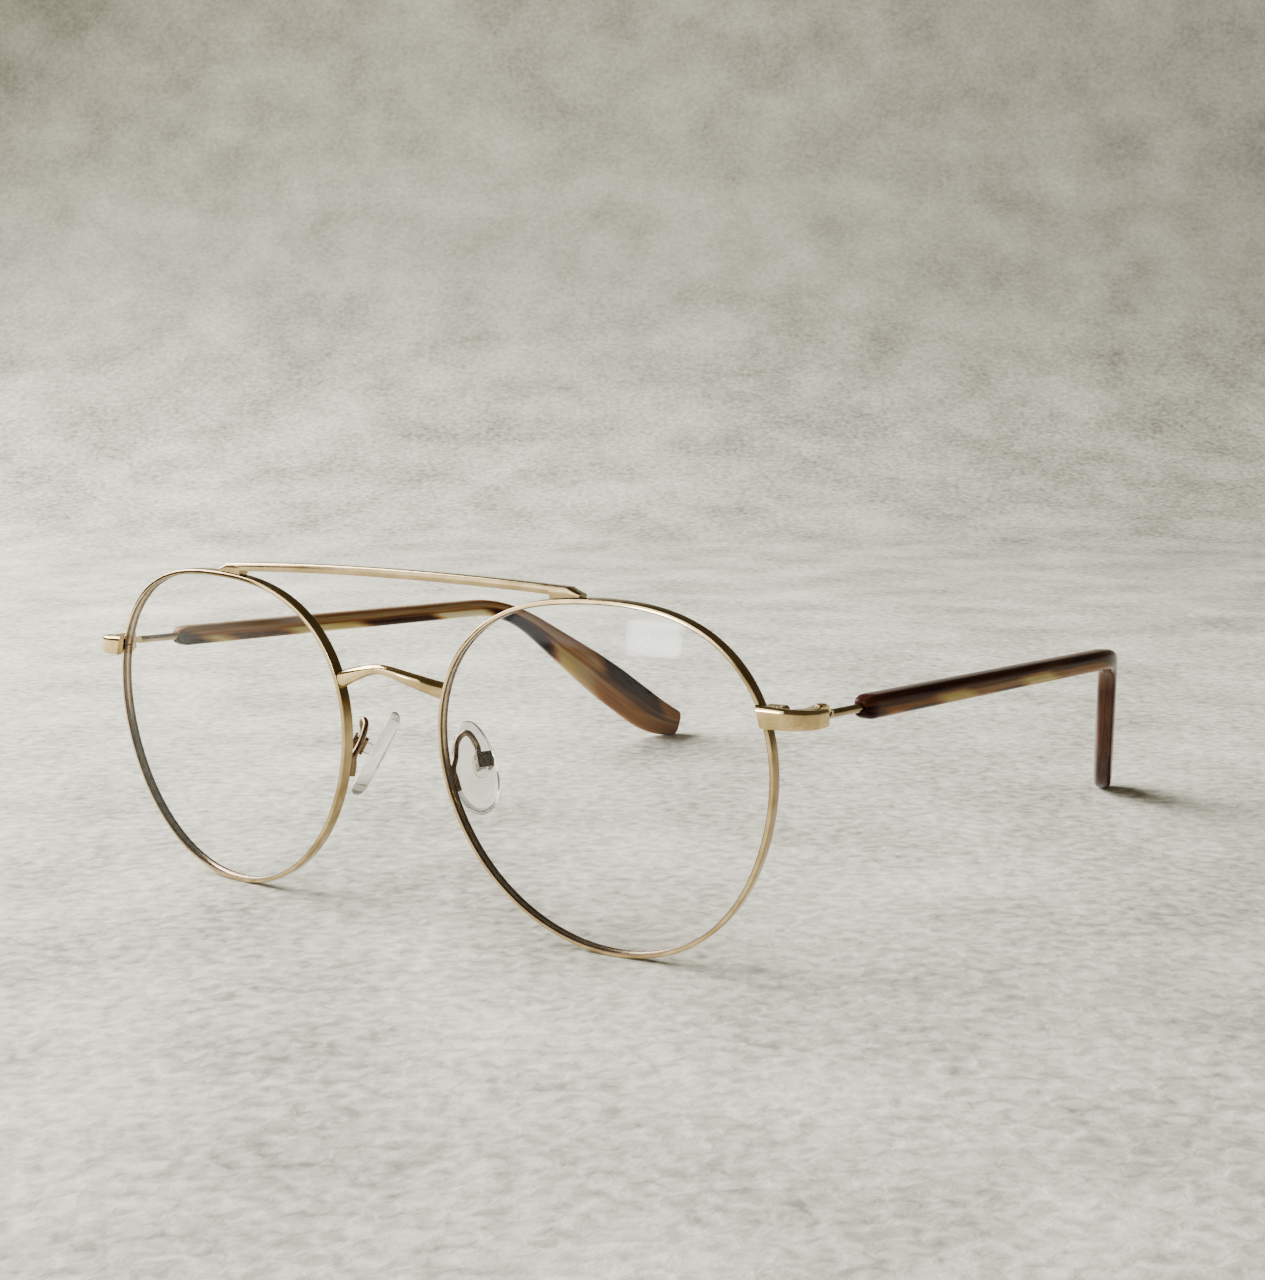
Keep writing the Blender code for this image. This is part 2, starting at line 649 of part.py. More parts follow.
def hinge_slot_shape():
    """Room between the front knuckles for the temple's knuckle to turn in."""
    return prism(circle(KNUCKLE_RADIUS + KNUCKLE_SLOT_PLAY, 24), HINGE_PLACE, AXES[0], AXES[1], AXES[2],
                 -0.5 * KNUCKLE_HEIGHT - SEAT, 0.5 * KNUCKLE_HEIGHT + SEAT)


def hinge_bore_shape():
    return prism(circle(KNUCKLE_BORE), HINGE_PLACE, AXES[0], AXES[1], AXES[2], -BORE_REACH, BORE_REACH)


def hinge_screw_shape():
    """Hinge screw: a domed head on the upper knuckle and a shank through all three."""
    shank = KNUCKLE_BORE - PLAY
    seat = HINGE_HALF + SEAT
    head = seat + HINGE_HEAD_HEIGHT
    profile = [(-HINGE_HALF - SCREW_BEVEL, shank - SCREW_BEVEL), (-HINGE_HALF, shank), (seat, shank),
               (seat, HINGE_HEAD_RADIUS), (head - SCREW_BEVEL, HINGE_HEAD_RADIUS),
               (head, HINGE_HEAD_RADIUS - 2.0 * SCREW_BEVEL)]
    return turned(profile, HINGE_PLACE, AXES[2])


def temple_hinge_shape():
    """Middle knuckle with a tang that carries the temple's core wire."""
    place, side, _ = temple_line(np.array([TANG_LENGTH]))
    sweep = np.linspace(-KNUCKLE_TO, KNUCKLE_FROM, 15)
    knuckle = HINGE_PLACE[:2] + KNUCKLE_RADIUS * np.stack([np.cos(sweep), np.sin(sweep)], -1)
    end = place[0, :2]
    across = unit(side[0, :2])
    outline = np.vstack([knuckle, end + TANG_HALF * across, end - TANG_HALF * across])
    half = 0.5 * KNUCKLE_HEIGHT
    return prism(outline, (0.0, 0.0, HINGE_Z), AXES[0], AXES[1], AXES[2], -half, half)


# Temples

def core_stations():
    """Distances at which the core wire and the bore that holds it are drawn."""
    return np.concatenate([np.linspace(SLEEVE_FRONT, EAR_TURN_FROM, 4),
                           np.linspace(EAR_TURN_FROM, CORE_END, 17)[1:]])


def core_shape():
    """Round core wire from the hinge's tang to within the paddle."""
    distance = np.concatenate([[TANG_LENGTH + SEAT], core_stations()])
    return loft(section_rings(distance, CORE_RADIUS, CORE_RADIUS, 2.0, 8))


def sleeve_shape():
    """Acetate temple: one skin from the bottom of its bore, out at the mouth and back over the outside."""
    bore = core_stations()[::-1].copy()
    bore[0] += CORE_END_PLAY
    bore_radius = CORE_RADIUS + CORE_PLAY
    bore_rings = section_rings(bore, bore_radius, bore_radius, 2.0, SLEEVE_SIDES)
    nose, nose_inset = np.transpose(SLEEVE_NOSE)
    tail, tail_inset = np.transpose(SLEEVE_TAIL)
    run = np.concatenate([np.linspace(SLEEVE_FRONT + SLEEVE_NOSE_LENGTH, EAR_TURN_FROM, 5),
                          np.linspace(EAR_TURN_FROM, TEMPLE_END - SLEEVE_TAIL_LENGTH, 27)[1:]])
    distance = np.concatenate([SLEEVE_FRONT + nose, run, TEMPLE_END - tail])
    inset = np.concatenate([nose_inset, np.zeros(len(run)), tail_inset])
    half_thick = sleeve_half_thick(distance) - inset
    half_height = sleeve_half_height(distance) - inset
    outside = section_rings(distance, half_thick, half_height, SLEEVE_ROUND, SLEEVE_SIDES)
    return loft(np.concatenate([bore_rings, outside]))


# Nose pads

PAD_LONG = unit(PAD_LENGTH_AXIS)
PAD_WIDE = np.array([math.sin(PAD_SPLAY), math.cos(PAD_SPLAY), 0.0])
PAD_WIDE = unit(PAD_WIDE - PAD_LONG * np.dot(PAD_WIDE, PAD_LONG))
PAD_OUT = np.cross(PAD_LONG, PAD_WIDE)
PAD_PLACE = np.array(PAD_CENTRE)
PAD_MOUNT = PAD_PLACE + PAD_MOUNT_SHIFT * PAD_WIDE
PAD_AXIS_PLACE = PAD_MOUNT + PAD_PIVOT * PAD_OUT


def pad_shape():
    """Oval pad: a flat outer side and a domed side for the nose, broader at the bottom."""
    angle = np.arange(PAD_SIDES) * 2.0 * math.pi / PAD_SIDES
    long = PAD_HALF_LENGTH * np.cos(angle)
    wide = PAD_HALF_WIDTH * np.sin(angle) * (1.0 + PAD_BROADER * np.cos(angle))
    rings = []
    for share, level in PAD_PROFILE:
        rings.append(PAD_PLACE + share * (long[:, None] * PAD_LONG + wide[:, None] * PAD_WIDE)
                     + level * PAD_HALF_THICK * PAD_OUT)
    return loft(rings)


def pad_recess_shape(extra):
    """Round-ended plate let into the pad's outer side."""
    sweep = np.linspace(-0.5 * math.pi, 0.5 * math.pi, 7)
    radius = PAD_PLATE_HALF_WIDTH + extra
    straight = PAD_PLATE_HALF_LENGTH - PAD_PLATE_HALF_WIDTH
    cap = np.stack([straight + radius * np.cos(sweep), radius * np.sin(sweep)], -1)
    outline = np.vstack([cap, -cap])
    top = PAD_HALF_THICK + (BORE_REACH if extra else 0.0)
    bottom = PAD_HALF_THICK - PAD_PLATE_THICK - extra
    return prism(outline, PAD_MOUNT, PAD_LONG, PAD_WIDE, PAD_OUT, bottom, top)


def pad_lug_outline():
    """Side view of the lug: a neck that ends in a half circle round the screw."""
    sweep = np.linspace(-0.5 * math.pi, 0.5 * math.pi, 9)
    tip = np.stack([PAD_LUG_HALF * np.sin(sweep), PAD_PIVOT + PAD_LUG_HALF * np.cos(sweep)], -1)
    root = PAD_HALF_THICK - PAD_LUG_ROOT
    return np.vstack([tip, (PAD_LUG_HALF, root), (-PAD_LUG_HALF, root)])


def pad_lug_shape():
    half = PAD_BOX_HALF_WIDTH - PAD_CHEEK - PLAY
    return prism(pad_lug_outline(), PAD_MOUNT, PAD_LONG, PAD_OUT, PAD_WIDE, -half, half)


def pad_bore_shape():
    radius = PAD_SCREW_RADIUS + PLAY
    return turned([(-BORE_REACH, radius), (BORE_REACH, radius)], PAD_AXIS_PLACE, PAD_WIDE, 12)


def pad_box_shape():
    """Clevis on the arm: two cheeks and a back, open towards the pad."""
    inner = PAD_BOX_HALF_WIDTH - PAD_CHEEK
    outer = PAD_BOX_HALF_WIDTH
    mouth = PAD_PIVOT - PAD_BOX_MOUTH
    floor = PAD_PIVOT + PAD_LUG_HALF + PAD_BOX_FLOOR
    back = floor + PAD_BOX_BACK
    half = PAD_BOX_HALF_LENGTH
    outline = [(-outer, mouth), (-inner, mouth), (-inner, floor), (inner, floor), (inner, mouth),
               (outer, mouth), (outer, back), (-outer, back)]
    return prism(outline, PAD_MOUNT, PAD_WIDE, PAD_OUT, PAD_LONG, -half, half)


def pad_screw_shape():
    """Screw across the box: head on the rear cheek, shank through the lug."""
    tip = -PAD_BOX_HALF_WIDTH
    seat = PAD_BOX_HALF_WIDTH + SEAT
    head = seat + PAD_HEAD_HEIGHT
    shank = PAD_SCREW_RADIUS
    profile = [(tip, shank - SCREW_BEVEL), (tip + SCREW_BEVEL, shank), (seat, shank),
               (seat, PAD_HEAD_RADIUS), (head - SCREW_BEVEL, PAD_HEAD_RADIUS),
               (head, PAD_HEAD_RADIUS - 2.0 * SCREW_BEVEL)]
    return turned(profile, PAD_AXIS_PLACE, PAD_WIDE, 12)


def pad_arm_shape():
    """Bent wire: its foot runs up the rim's back, then it loops over and down to the box."""
    back = -0.5 * RIM_DEPTH - PAD_FOOT_RADIUS - SEAT
    foot = [rim_point(math.radians(angle), PAD_FOOT_OUT, back) for angle in PAD_FOOT_ANGLES]
    end = (PAD_AXIS_PLACE + PAD_ARM_END * PAD_OUT + PAD_ARM_SIDE * PAD_WIDE
           - (PAD_BOX_HALF_LENGTH + SEAT) * PAD_LONG)
    lead = end - PAD_ARM_LEAD * PAD_LONG
    path = spline([*foot, *PAD_ARM_LOOP, lead, end], PAD_ARM_STEPS)
    foot_end = PAD_ARM_STEPS * len(foot)
    thinner = smooth_step(np.arange(len(path)), foot_end - 2 * PAD_ARM_STEPS, foot_end)
    return tube(path, PAD_FOOT_RADIUS + (PAD_ARM_RADIUS - PAD_FOOT_RADIUS) * thinner)


# Assembly

def build_front(frame, gold, clear):
    """Everything that stays with the lenses."""
    add_solid("bridge", bridge_shape(), gold, frame)
    add_solid("top_bar", bar_shape(), gold, frame)
    for side, sign in SIDES:
        add_solid(f"rim_{side}", rim_shape(), gold, frame, sign)
        add_solid(f"lens_{side}", lens_shape(), clear, frame, sign)
        add_solid(f"endpiece_{side}", endpiece_shape(), gold, frame, sign)
        for half, rising in (("upper", 1), ("lower", -1)):
            block = add_solid(f"closing_block_{half}_{side}", block_shape(rising), gold, frame, sign)
            cut(block, f"cut_block_{half}_{side}", closing_bore_shape(), frame, sign)
        add_solid(f"closing_screw_{side}", closing_screw_shape(), gold, frame, sign)
        hinge = add_solid(f"front_hinge_{side}", front_hinge_shape(), gold, frame, sign)
        cut(hinge, f"cut_hinge_slot_{side}", hinge_slot_shape(), frame, sign)
        cut(hinge, f"cut_hinge_bore_{side}", hinge_bore_shape(), frame, sign)
        add_solid(f"hinge_screw_{side}", hinge_screw_shape(), gold, frame, sign)
        add_solid(f"pad_arm_{side}", pad_arm_shape(), gold, frame, sign)
        box = add_solid(f"pad_box_{side}", pad_box_shape(), gold, frame, sign)
        cut(box, f"cut_box_{side}", pad_bore_shape(), frame, sign)
        add_solid(f"pad_screw_{side}", pad_screw_shape(), gold, frame, sign)


def build_temple(frame, side, sign, gold, acetate):
    """Temple on its hinge axis."""
    axis = add_empty(f"temple_axis_{side}", HINGE_PLACE * (sign, 1.0, 1.0), frame)
    knuckle = add_solid(f"temple_hinge_{side}", temple_hinge_shape(), gold, axis, sign)
    cut(knuckle, f"cut_temple_bore_{side}", hinge_bore_shape(), axis, sign)
    add_solid(f"temple_core_{side}", core_shape(), gold, axis, sign)
    add_solid(f"temple_sleeve_{side}", sleeve_shape(), acetate, axis, sign)


def build_pad(frame, side, sign, clear):
    """Nose pad on the axis of its screw."""
    axis = add_empty(f"pad_axis_{side}", PAD_AXIS_PLACE * (sign, 1.0, 1.0), frame)
    pad = add_solid(f"nose_pad_{side}", pad_shape(), clear, axis, sign)
    cut(pad, f"cut_pad_{side}", pad_recess_shape(SEAT), axis, sign)
    insert = add_solid(f"pad_insert_{side}", pad_recess_shape(0.0), clear, axis, sign)
    lug = add_solid(f"join_lug_{side}", pad_lug_shape(), None, axis, sign)
    lug.hide_render = True
    lug.display_type = "WIRE"
    joined = insert.modifiers.new("lug", "BOOLEAN")
    joined.operation = "UNION"
    joined.object = lug
    cut(insert, f"cut_lug_{side}", pad_bore_shape(), axis, sign)


def main():
    clear_scene()
    gold = material("polished_gold_metal", (0.80, 0.62, 0.37), 0.16, 1.0)
    clear = material("clear_lens", (0.95, 0.96, 0.94), 0.03, 0.0, 0.2)
    soft = material("clear_pad", (0.93, 0.93, 0.90), 0.18, 0.0, 0.45)
    acetate = material("tortoise_acetate", (0.30, 0.12, 0.05), 0.14, 0.0)
    frame = add_empty("front_frame", (0.0, 0.0, 0.0))
    frame.location.y = FRONT_Y * MM
    build_front(frame, gold, clear)
    for side, sign in SIDES:
        build_pad(frame, side, sign, soft)
        build_temple(frame, side, sign, gold, acetate)


main()
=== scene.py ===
"""Round gold eyeglasses with tortoise-shell temples, standing open on a pale paper sweep.

Shapes are worked out in millimetres, with the lens plane at y = 0, and drawn for the wearer's left
side (+X).  A sign of -1 mirrors a piece to the wearer's right.
"""
import math

import bmesh
import bpy
import numpy as np
from mathutils import Matrix, Vector


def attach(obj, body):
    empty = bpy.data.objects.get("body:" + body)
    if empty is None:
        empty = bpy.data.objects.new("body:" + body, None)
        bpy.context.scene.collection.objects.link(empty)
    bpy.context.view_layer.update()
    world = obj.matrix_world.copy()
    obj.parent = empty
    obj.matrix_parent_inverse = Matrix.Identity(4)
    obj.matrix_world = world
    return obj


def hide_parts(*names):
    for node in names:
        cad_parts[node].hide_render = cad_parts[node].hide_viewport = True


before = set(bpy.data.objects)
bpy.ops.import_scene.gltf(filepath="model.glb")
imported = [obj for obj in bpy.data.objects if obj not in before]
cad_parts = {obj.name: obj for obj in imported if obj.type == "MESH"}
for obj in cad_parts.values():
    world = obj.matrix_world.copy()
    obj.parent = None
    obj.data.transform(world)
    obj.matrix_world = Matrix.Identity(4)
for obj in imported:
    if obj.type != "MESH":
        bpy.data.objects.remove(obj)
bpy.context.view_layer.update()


# Rims
# Each rim is a flat gold-plated metal wire, grooved on its inner side and bent to the lens outline.
# It is sawn through at the temple side, where a screw draws it together round the lens.
MM = 0.001
SIDES = (("left", 1), ("right", -1))
LENS_PLANE_Y = -70.53
LENS_CENTRE_X = 35.53
LENS_RADIUS = 25.555
LENS_WIDER = 0.75
LENS_LEAN = -0.17
LENS_TEMPLE_PULL = -0.28
LENS_BROW = 0.83
LENS_SQUARE = -0.30
LENS_WRAP = math.radians(4.35)
LENS_TILT = math.radians(4.19)
LENS_CURVE = 128.0
RIM_WIDTH = 0.7
RIM_DEPTH = 1.66
RIM_EDGE = 0.17
RIM_OUTER_SHADE = 0.45
GROOVE_DEPTH = 0.3
GROOVE_HALF = 0.4
GROOVE_EDGE = 0.05
RIM_STEPS = 300
OUTLINE_SAMPLES = 721
CORNER_STEPS = 4
SOFT_CREASE = 38.0
CUT_ANGLE = math.radians(22.6)
CUT_GAP = 0.24
LENS_OUT = np.array([math.cos(LENS_WRAP), math.sin(LENS_WRAP), 0.0])
LENS_UP = np.array([math.sin(LENS_WRAP) * math.sin(LENS_TILT),
                    -math.cos(LENS_WRAP) * math.sin(LENS_TILT),
                    math.cos(LENS_TILT)])
LENS_FORWARD = np.cross(LENS_OUT, LENS_UP)


def rim_radius(angle):
    """Radius of the rim's mid-line: a circle with small waves of two, three and four periods."""
    return (LENS_RADIUS + LENS_WIDER * np.cos(2 * angle) + LENS_LEAN * np.sin(2 * angle)
            + LENS_TEMPLE_PULL * np.cos(3 * angle) + LENS_BROW * np.sin(3 * angle)
            + LENS_SQUARE * np.cos(4 * angle))


def on_lens(across, up, depth, centre_z):
    """Point on the domed lens: across and up in its plane, sunk by the square of the distance from its
    middle, then moved forward by depth."""
    across, up, depth = np.broadcast_arrays(across, up, depth)
    sag = (across ** 2 + up ** 2 - LENS_RADIUS ** 2) / (2.0 * LENS_CURVE)
    centre = np.array([LENS_CENTRE_X, 0.0, centre_z])
    return (centre + across[..., None] * LENS_OUT + up[..., None] * LENS_UP
            + (depth - sag)[..., None] * LENS_FORWARD)


def standing_height():
    """Height of the lens centre at which the rim's lowest edge touches the floor."""
    angle = np.linspace(0.0, 2.0 * math.pi, OUTLINE_SAMPLES)[:, None]
    radius = rim_radius(angle) + 0.5 * RIM_WIDTH
    edges = np.array([[-0.5 * RIM_DEPTH, 0.5 * RIM_DEPTH]])
    return -on_lens(radius * np.cos(angle), radius * np.sin(angle), edges, 0.0)[..., 2].min()


LENS_CENTRE_Z = standing_height()


def rim_point(angle, outward, depth):
    """Point beside the rim's mid-line: outward along the radius and forward by depth."""
    radius = rim_radius(angle) + outward
    return on_lens(radius * np.cos(angle), radius * np.sin(angle), depth, LENS_CENTRE_Z)


def rounded(corners, cut):
    """Outline whose corners become parabolas that leave each side at a cut's distance from the corner."""
    corners = np.array(corners, dtype=float)
    before = np.roll(corners, 1, axis=0) - corners
    after = np.roll(corners, -1, axis=0) - corners
    reach = np.broadcast_to(cut, len(corners))[:, None]
    before *= reach / np.linalg.norm(before, axis=1, keepdims=True)
    after *= reach / np.linalg.norm(after, axis=1, keepdims=True)
    t = np.linspace(0.0, 1.0, CORNER_STEPS + 1)[None, :, None]
    arcs = corners[:, None] + (1.0 - t) ** 2 * before[:, None] + t ** 2 * after[:, None]
    return arcs.reshape(-1, corners.shape[1])


def add_object(name, mesh, crease):
    """Object for a mesh, shaded smooth except across edges sharper than the crease."""
    mesh.shade_smooth()
    mesh.set_sharp_from_angle(angle=math.radians(crease))
    piece = bpy.data.objects.new(name, mesh)
    bpy.context.scene.collection.objects.link(piece)
    return piece


def skin(name, rings, sign=1):
    """Closed surface over rows of points: each row is a ring, quads join the rings, a face caps each end."""
    points = (np.array(rings, dtype=float) * (sign, 1.0, 1.0) + (0.0, LENS_PLANE_Y, 0.0)) * MM
    rows, columns = points.shape[:2]
    index = np.arange(rows * columns).reshape(rows, columns)
    beside = np.roll(index, -1, axis=1)
    quads = np.stack([index[:-1], beside[:-1], beside[1:], index[1:]], -1).reshape(-1, 4)
    caps = [index[0].tolist(), index[-1].tolist()]
    mesh = bpy.data.meshes.new(name)
    mesh.from_pydata(points.reshape(-1, 3), [], quads.tolist() + caps)
    work = bmesh.new()
    work.from_mesh(mesh)
    bmesh.ops.recalc_face_normals(work, faces=work.faces)
    work.to_mesh(mesh)
    work.free()
    return add_object(name, mesh, SOFT_CREASE)


def fit(piece, node, body, finish):
    """Give a piece its finish and hang it on its body in place of a node."""
    piece.data.materials.clear()
    piece.data.materials.append(finish)
    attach(piece, body)
    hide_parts(node)


class Tone:
    """A value in a material's node tree.  Arithmetic on tones adds Math nodes to the tree."""

    def __init__(self, tree, socket=None):
        self.tree = tree
        self.socket = socket

    def node(self, kind, settings=None, inputs=None, output=0):
        """Add a node: set its properties or ramp stops, then set or link its inputs."""
        made = self.tree.nodes.new(kind)
        for key, value in (settings or {}).items():
            if key == "stops":
                for place, _ in value[2:]:
                    made.color_ramp.elements.new(place)
                for element, (place, colour) in zip(made.color_ramp.elements, value):
                    element.position = place
                    element.color = (*colour, 1.0)
            else:
                setattr(made, key, value)
        for key, value in (inputs or {}).items():
            if isinstance(value, Tone):
                self.tree.links.new(value.socket, made.inputs[key])
            else:
                made.inputs[key].default_value = value
        return Tone(self.tree, made.outputs[output])

    def math(self, operation, first, second):
        """Math node on two tones or numbers."""
        return self.node("ShaderNodeMath", {"operation": operation}, {0: first, 1: second})

    def __add__(self, other):
        return self.math("ADD", self, other)

    __radd__ = __add__

    def __mul__(self, other):
        return self.math("MULTIPLY", self, other)

    __rmul__ = __mul__

    def __sub__(self, other):
        return self.math("SUBTRACT", self, other)

    def __rsub__(self, other):
        return self.math("SUBTRACT", other, self)

    def __pow__(self, power):
        return self.math("POWER", self, power)

    def feed(self, shader, name):
        """Link this value to a socket of the surface shader."""
        self.tree.links.new(self.socket, shader.inputs[name])


def surface(name):
    """New material: itself, its surface shader and a tone to build its values from."""
    finish = bpy.data.materials.new(name)
    finish.use_nodes = True
    return finish, finish.node_tree.nodes["Principled BSDF"], Tone(finish.node_tree)


GOLD_DEEP = (0.48, 0.338, 0.145)
GOLD_PALE = (0.74, 0.555, 0.285)
# Painted shade: a dull dark brown mixed into the gold where the metal should look dark
GOLD_PAINTED_SHADE = (0.10, 0.06, 0.048, 1.0)
GOLD_STOPS = [(0.3, GOLD_DEEP), (0.62, GOLD_PALE)]
GOLD_CLOUD = {"Scale": 260.0, "Detail": 2.0}
GOLD_WEAR = {"Scale": 2400.0, "Detail": 3.0}
GOLD_RELIEF = {"Strength": 0.03, "Distance": 0.00005}
GOLD_ROUGHNESS = 0.1
GOLD_WEAR_ROUGHNESS = 0.12
GOLD_CLOUD_ROUGHNESS = 0.08
GOLD_SHADE_ROUGHNESS = 0.22
# Sockets of a Mix node for colours, by number because their names repeat
MIX_FACTOR = 0
MIX_FIRST = 6
MIX_SECOND = 7
MIX_RESULT = 2


def gold_plate():
    """Gold plate: cloudy noise shifts its tone and gloss, fine noise stands for polishing lines, and a point
    attribute paints it a duller dark brown: painted shade for the dark reflections on some of its faces."""
    finish, shader, tone = surface("gold_plate")
    place = tone.node("ShaderNodeTexCoord", output="Object")
    cloud = tone.node("ShaderNodeTexNoise", None, {"Vector": place, **GOLD_CLOUD})
    wear = tone.node("ShaderNodeTexNoise", None, {"Vector": place, **GOLD_WEAR})
    colour = tone.node("ShaderNodeValToRGB", {"stops": GOLD_STOPS}, {"Fac": cloud})
    relief = tone.node("ShaderNodeBump", None, {**GOLD_RELIEF, "Height": wear})
    tarnish = tone.node("ShaderNodeAttribute", {"attribute_name": "tarnish"}, output="Fac")
    shaded_colour = tone.node("ShaderNodeMix", {"data_type": "RGBA"},
                       {MIX_FACTOR: tarnish, MIX_FIRST: colour, MIX_SECOND: GOLD_PAINTED_SHADE}, MIX_RESULT)
    roughness = (GOLD_ROUGHNESS + GOLD_WEAR_ROUGHNESS * (wear - 0.5)
                 + GOLD_CLOUD_ROUGHNESS * (cloud - 0.5) + GOLD_SHADE_ROUGHNESS * tarnish)
    shaded_colour.feed(shader, "Base Color")
    roughness.feed(shader, "Roughness")
    relief.feed(shader, "Normal")
    shader.inputs["Metallic"].default_value = 1.0
    return finish


GOLD = gold_plate()


def add_painted_shade(piece, amount):
    """Attribute for the painted shade, a dull dark brown on the plate: one number for the piece, or one for
    each point.
    """
    layer = piece.data.attributes.new("tarnish", "FLOAT", "POINT")
    spread = np.broadcast_to(np.asarray(amount, dtype=np.float32), len(piece.data.vertices))
    layer.data.foreach_set("value", np.ascontiguousarray(spread))


HALF_CUT = 0.5 * CUT_GAP / LENS_RADIUS
RIM_ANGLE = np.linspace(CUT_ANGLE + HALF_CUT, CUT_ANGLE + 2.0 * math.pi - HALF_CUT, RIM_STEPS + 1)
half_width = 0.5 * RIM_WIDTH
half_depth = 0.5 * RIM_DEPTH
rim_profile = rounded(
    [(half_width, half_depth), (half_width, -half_depth), (-half_width, -half_depth),
     (-half_width, -GROOVE_HALF), (GROOVE_DEPTH - half_width, 0.0), (-half_width, GROOVE_HALF),
     (-half_width, half_depth)],
    (RIM_EDGE, RIM_EDGE, RIM_EDGE, GROOVE_EDGE, GROOVE_EDGE, GROOVE_EDGE, RIM_EDGE))
rim_rings = rim_point(RIM_ANGLE[:, None], rim_profile[None, :, 0], rim_profile[None, :, 1])
# Painted shade: the inner faces by the lens get the full dark brown and the outer faces almost half, for the
# dark lens edge and the dark reflections on the rim's sides
inner_face = rim_profile[:, 0] < RIM_EDGE - half_width
outer_face = rim_profile[:, 0] > half_width - RIM_EDGE
rim_painted_shade = np.tile(inner_face + RIM_OUTER_SHADE * outer_face, len(RIM_ANGLE))
for side, sign in SIDES:
    piece = skin(f"wire_rim_{side}", rim_rings, sign)
    add_painted_shade(piece, rim_painted_shade)
    fit(piece, f"rim_{side}", "front", GOLD)


# Lenses
# Each lens is clear plastic, 1.5 mm thick and domed, edged to the rim's outline with a ridge all round.
# The ridge sits in the rim's groove, and the closed rim holds it.
LENS_THICKNESS = 1.5
LENS_SEAT = 0.04
LENS_SHOULDER_PLAY = 0.12
LENS_MIDDLE_SHARE = 0.02
LENS_FACE_RINGS = 25
LENS_TINT = (0.93, 0.96, 0.95, 1.0)
LENS_SMEAR = {"Scale": 90.0, "Detail": 2.0}
LENS_VEIL = 0.012
LENS_MIRROR = 0.6
LENS_MIRROR_POWER = 5.0
LENS_ROUGHNESS = 0.02
LENS_SMEAR_ROUGHNESS = 0.05


def lens_rings():
    """Polar grid: the outline shrunk towards the middle on the front, over the ridge and on the back."""
    angle = RIM_ANGLE[:-1]
    edge = rim_radius(angle) - 0.5 * RIM_WIDTH - LENS_SEAT
    ridge = edge + GROOVE_DEPTH - LENS_SEAT
    shoulder = GROOVE_HALF - LENS_SHOULDER_PLAY
    front = np.linspace(LENS_MIDDLE_SHARE, 1.0, LENS_FACE_RINGS)[:, None] * edge
    radius = np.vstack([front, edge, ridge, edge, front[::-1]])
    face = np.full(LENS_FACE_RINGS, 0.5 * LENS_THICKNESS)
    depth = np.concatenate([face, (shoulder, 0.0, -shoulder), -face])
    return on_lens(radius * np.cos(angle), radius * np.sin(angle), depth[:, None], LENS_CENTRE_Z)


def clear_lens():
    """Clear coated lens: see-through head on, and a mirror by the fifth power of how edge-on it is seen."""
    finish, shader, tone = surface("coated_lens")
    place = tone.node("ShaderNodeTexCoord", output="Object")
    smear = tone.node("ShaderNodeTexNoise", None, {"Vector": place, **LENS_SMEAR})
    edge_on = tone.node("ShaderNodeLayerWeight", None, {"Blend": 0.5}, output="Facing")
    (LENS_MIRROR * edge_on ** LENS_MIRROR_POWER + LENS_VEIL * (0.5 + smear)).feed(shader, "Alpha")
    (LENS_ROUGHNESS + LENS_SMEAR_ROUGHNESS * smear).feed(shader, "Roughness")
    shader.inputs["Base Color"].default_value = LENS_TINT
    shader.inputs["Metallic"].default_value = 1.0
    return finish


LENS = clear_lens()
for side, sign in SIDES:
    fit(skin(f"glass_lens_{side}", lens_rings(), sign), f"lens_{side}", "front", LENS)


# Bridge
# The saddle bridge is a round wire bent to a soft inverted V.  Its ends swell, are cut to the rims' curve
# and are soldered to the rims' outer faces.
BRIDGE_Z = 37.5
BRIDGE_Y = -4.7
BRIDGE_SLOPE = 0.335
BRIDGE_CROWN = 2.4
BRIDGE_BOW = 0.024
BRIDGE_HALF_HEIGHT = 0.72
BRIDGE_HALF_DEPTH = 0.72
BRIDGE_FLARE = 1.05
BRIDGE_ANGLE = math.radians(158.3)
BRIDGE_STEPS = 91
BRIDGE_SIDES = 32
BRIDGE_ROUND = 2.2
SOLDER_SINK = 0.06


def rounded_ring(sides, power):
    """Unit ring between an ellipse and a rectangle: cosine and sine raised to two over the power."""
    angle = np.arange(sides) * 2.0 * math.pi / sides
    ring = np.stack([np.cos(angle), np.sin(angle)])
    return np.sign(ring) * np.abs(ring) ** (2.0 / power)


def along_unit(path):
    """Unit tangents of a row of points."""
    tangent = np.gradient(path, axis=0)
    return tangent / np.linalg.norm(tangent, axis=1, keepdims=True)


def trim_to_rim(points):
    """Points moved along X back to the rim's outer face wherever they would run into it."""
    local = points - (LENS_CENTRE_X, 0.0, LENS_CENTRE_Z)
    up = local @ LENS_UP
    across = local @ LENS_OUT
    wanted = rim_radius(np.arctan2(up, across)) + 0.5 * RIM_WIDTH - SOLDER_SINK
    limit = -np.sqrt(np.maximum(wanted ** 2 - up ** 2, 0.0))
    trimmed = points.copy()
    trimmed[..., 0] += np.minimum(limit - across, 0.0)
    return trimmed


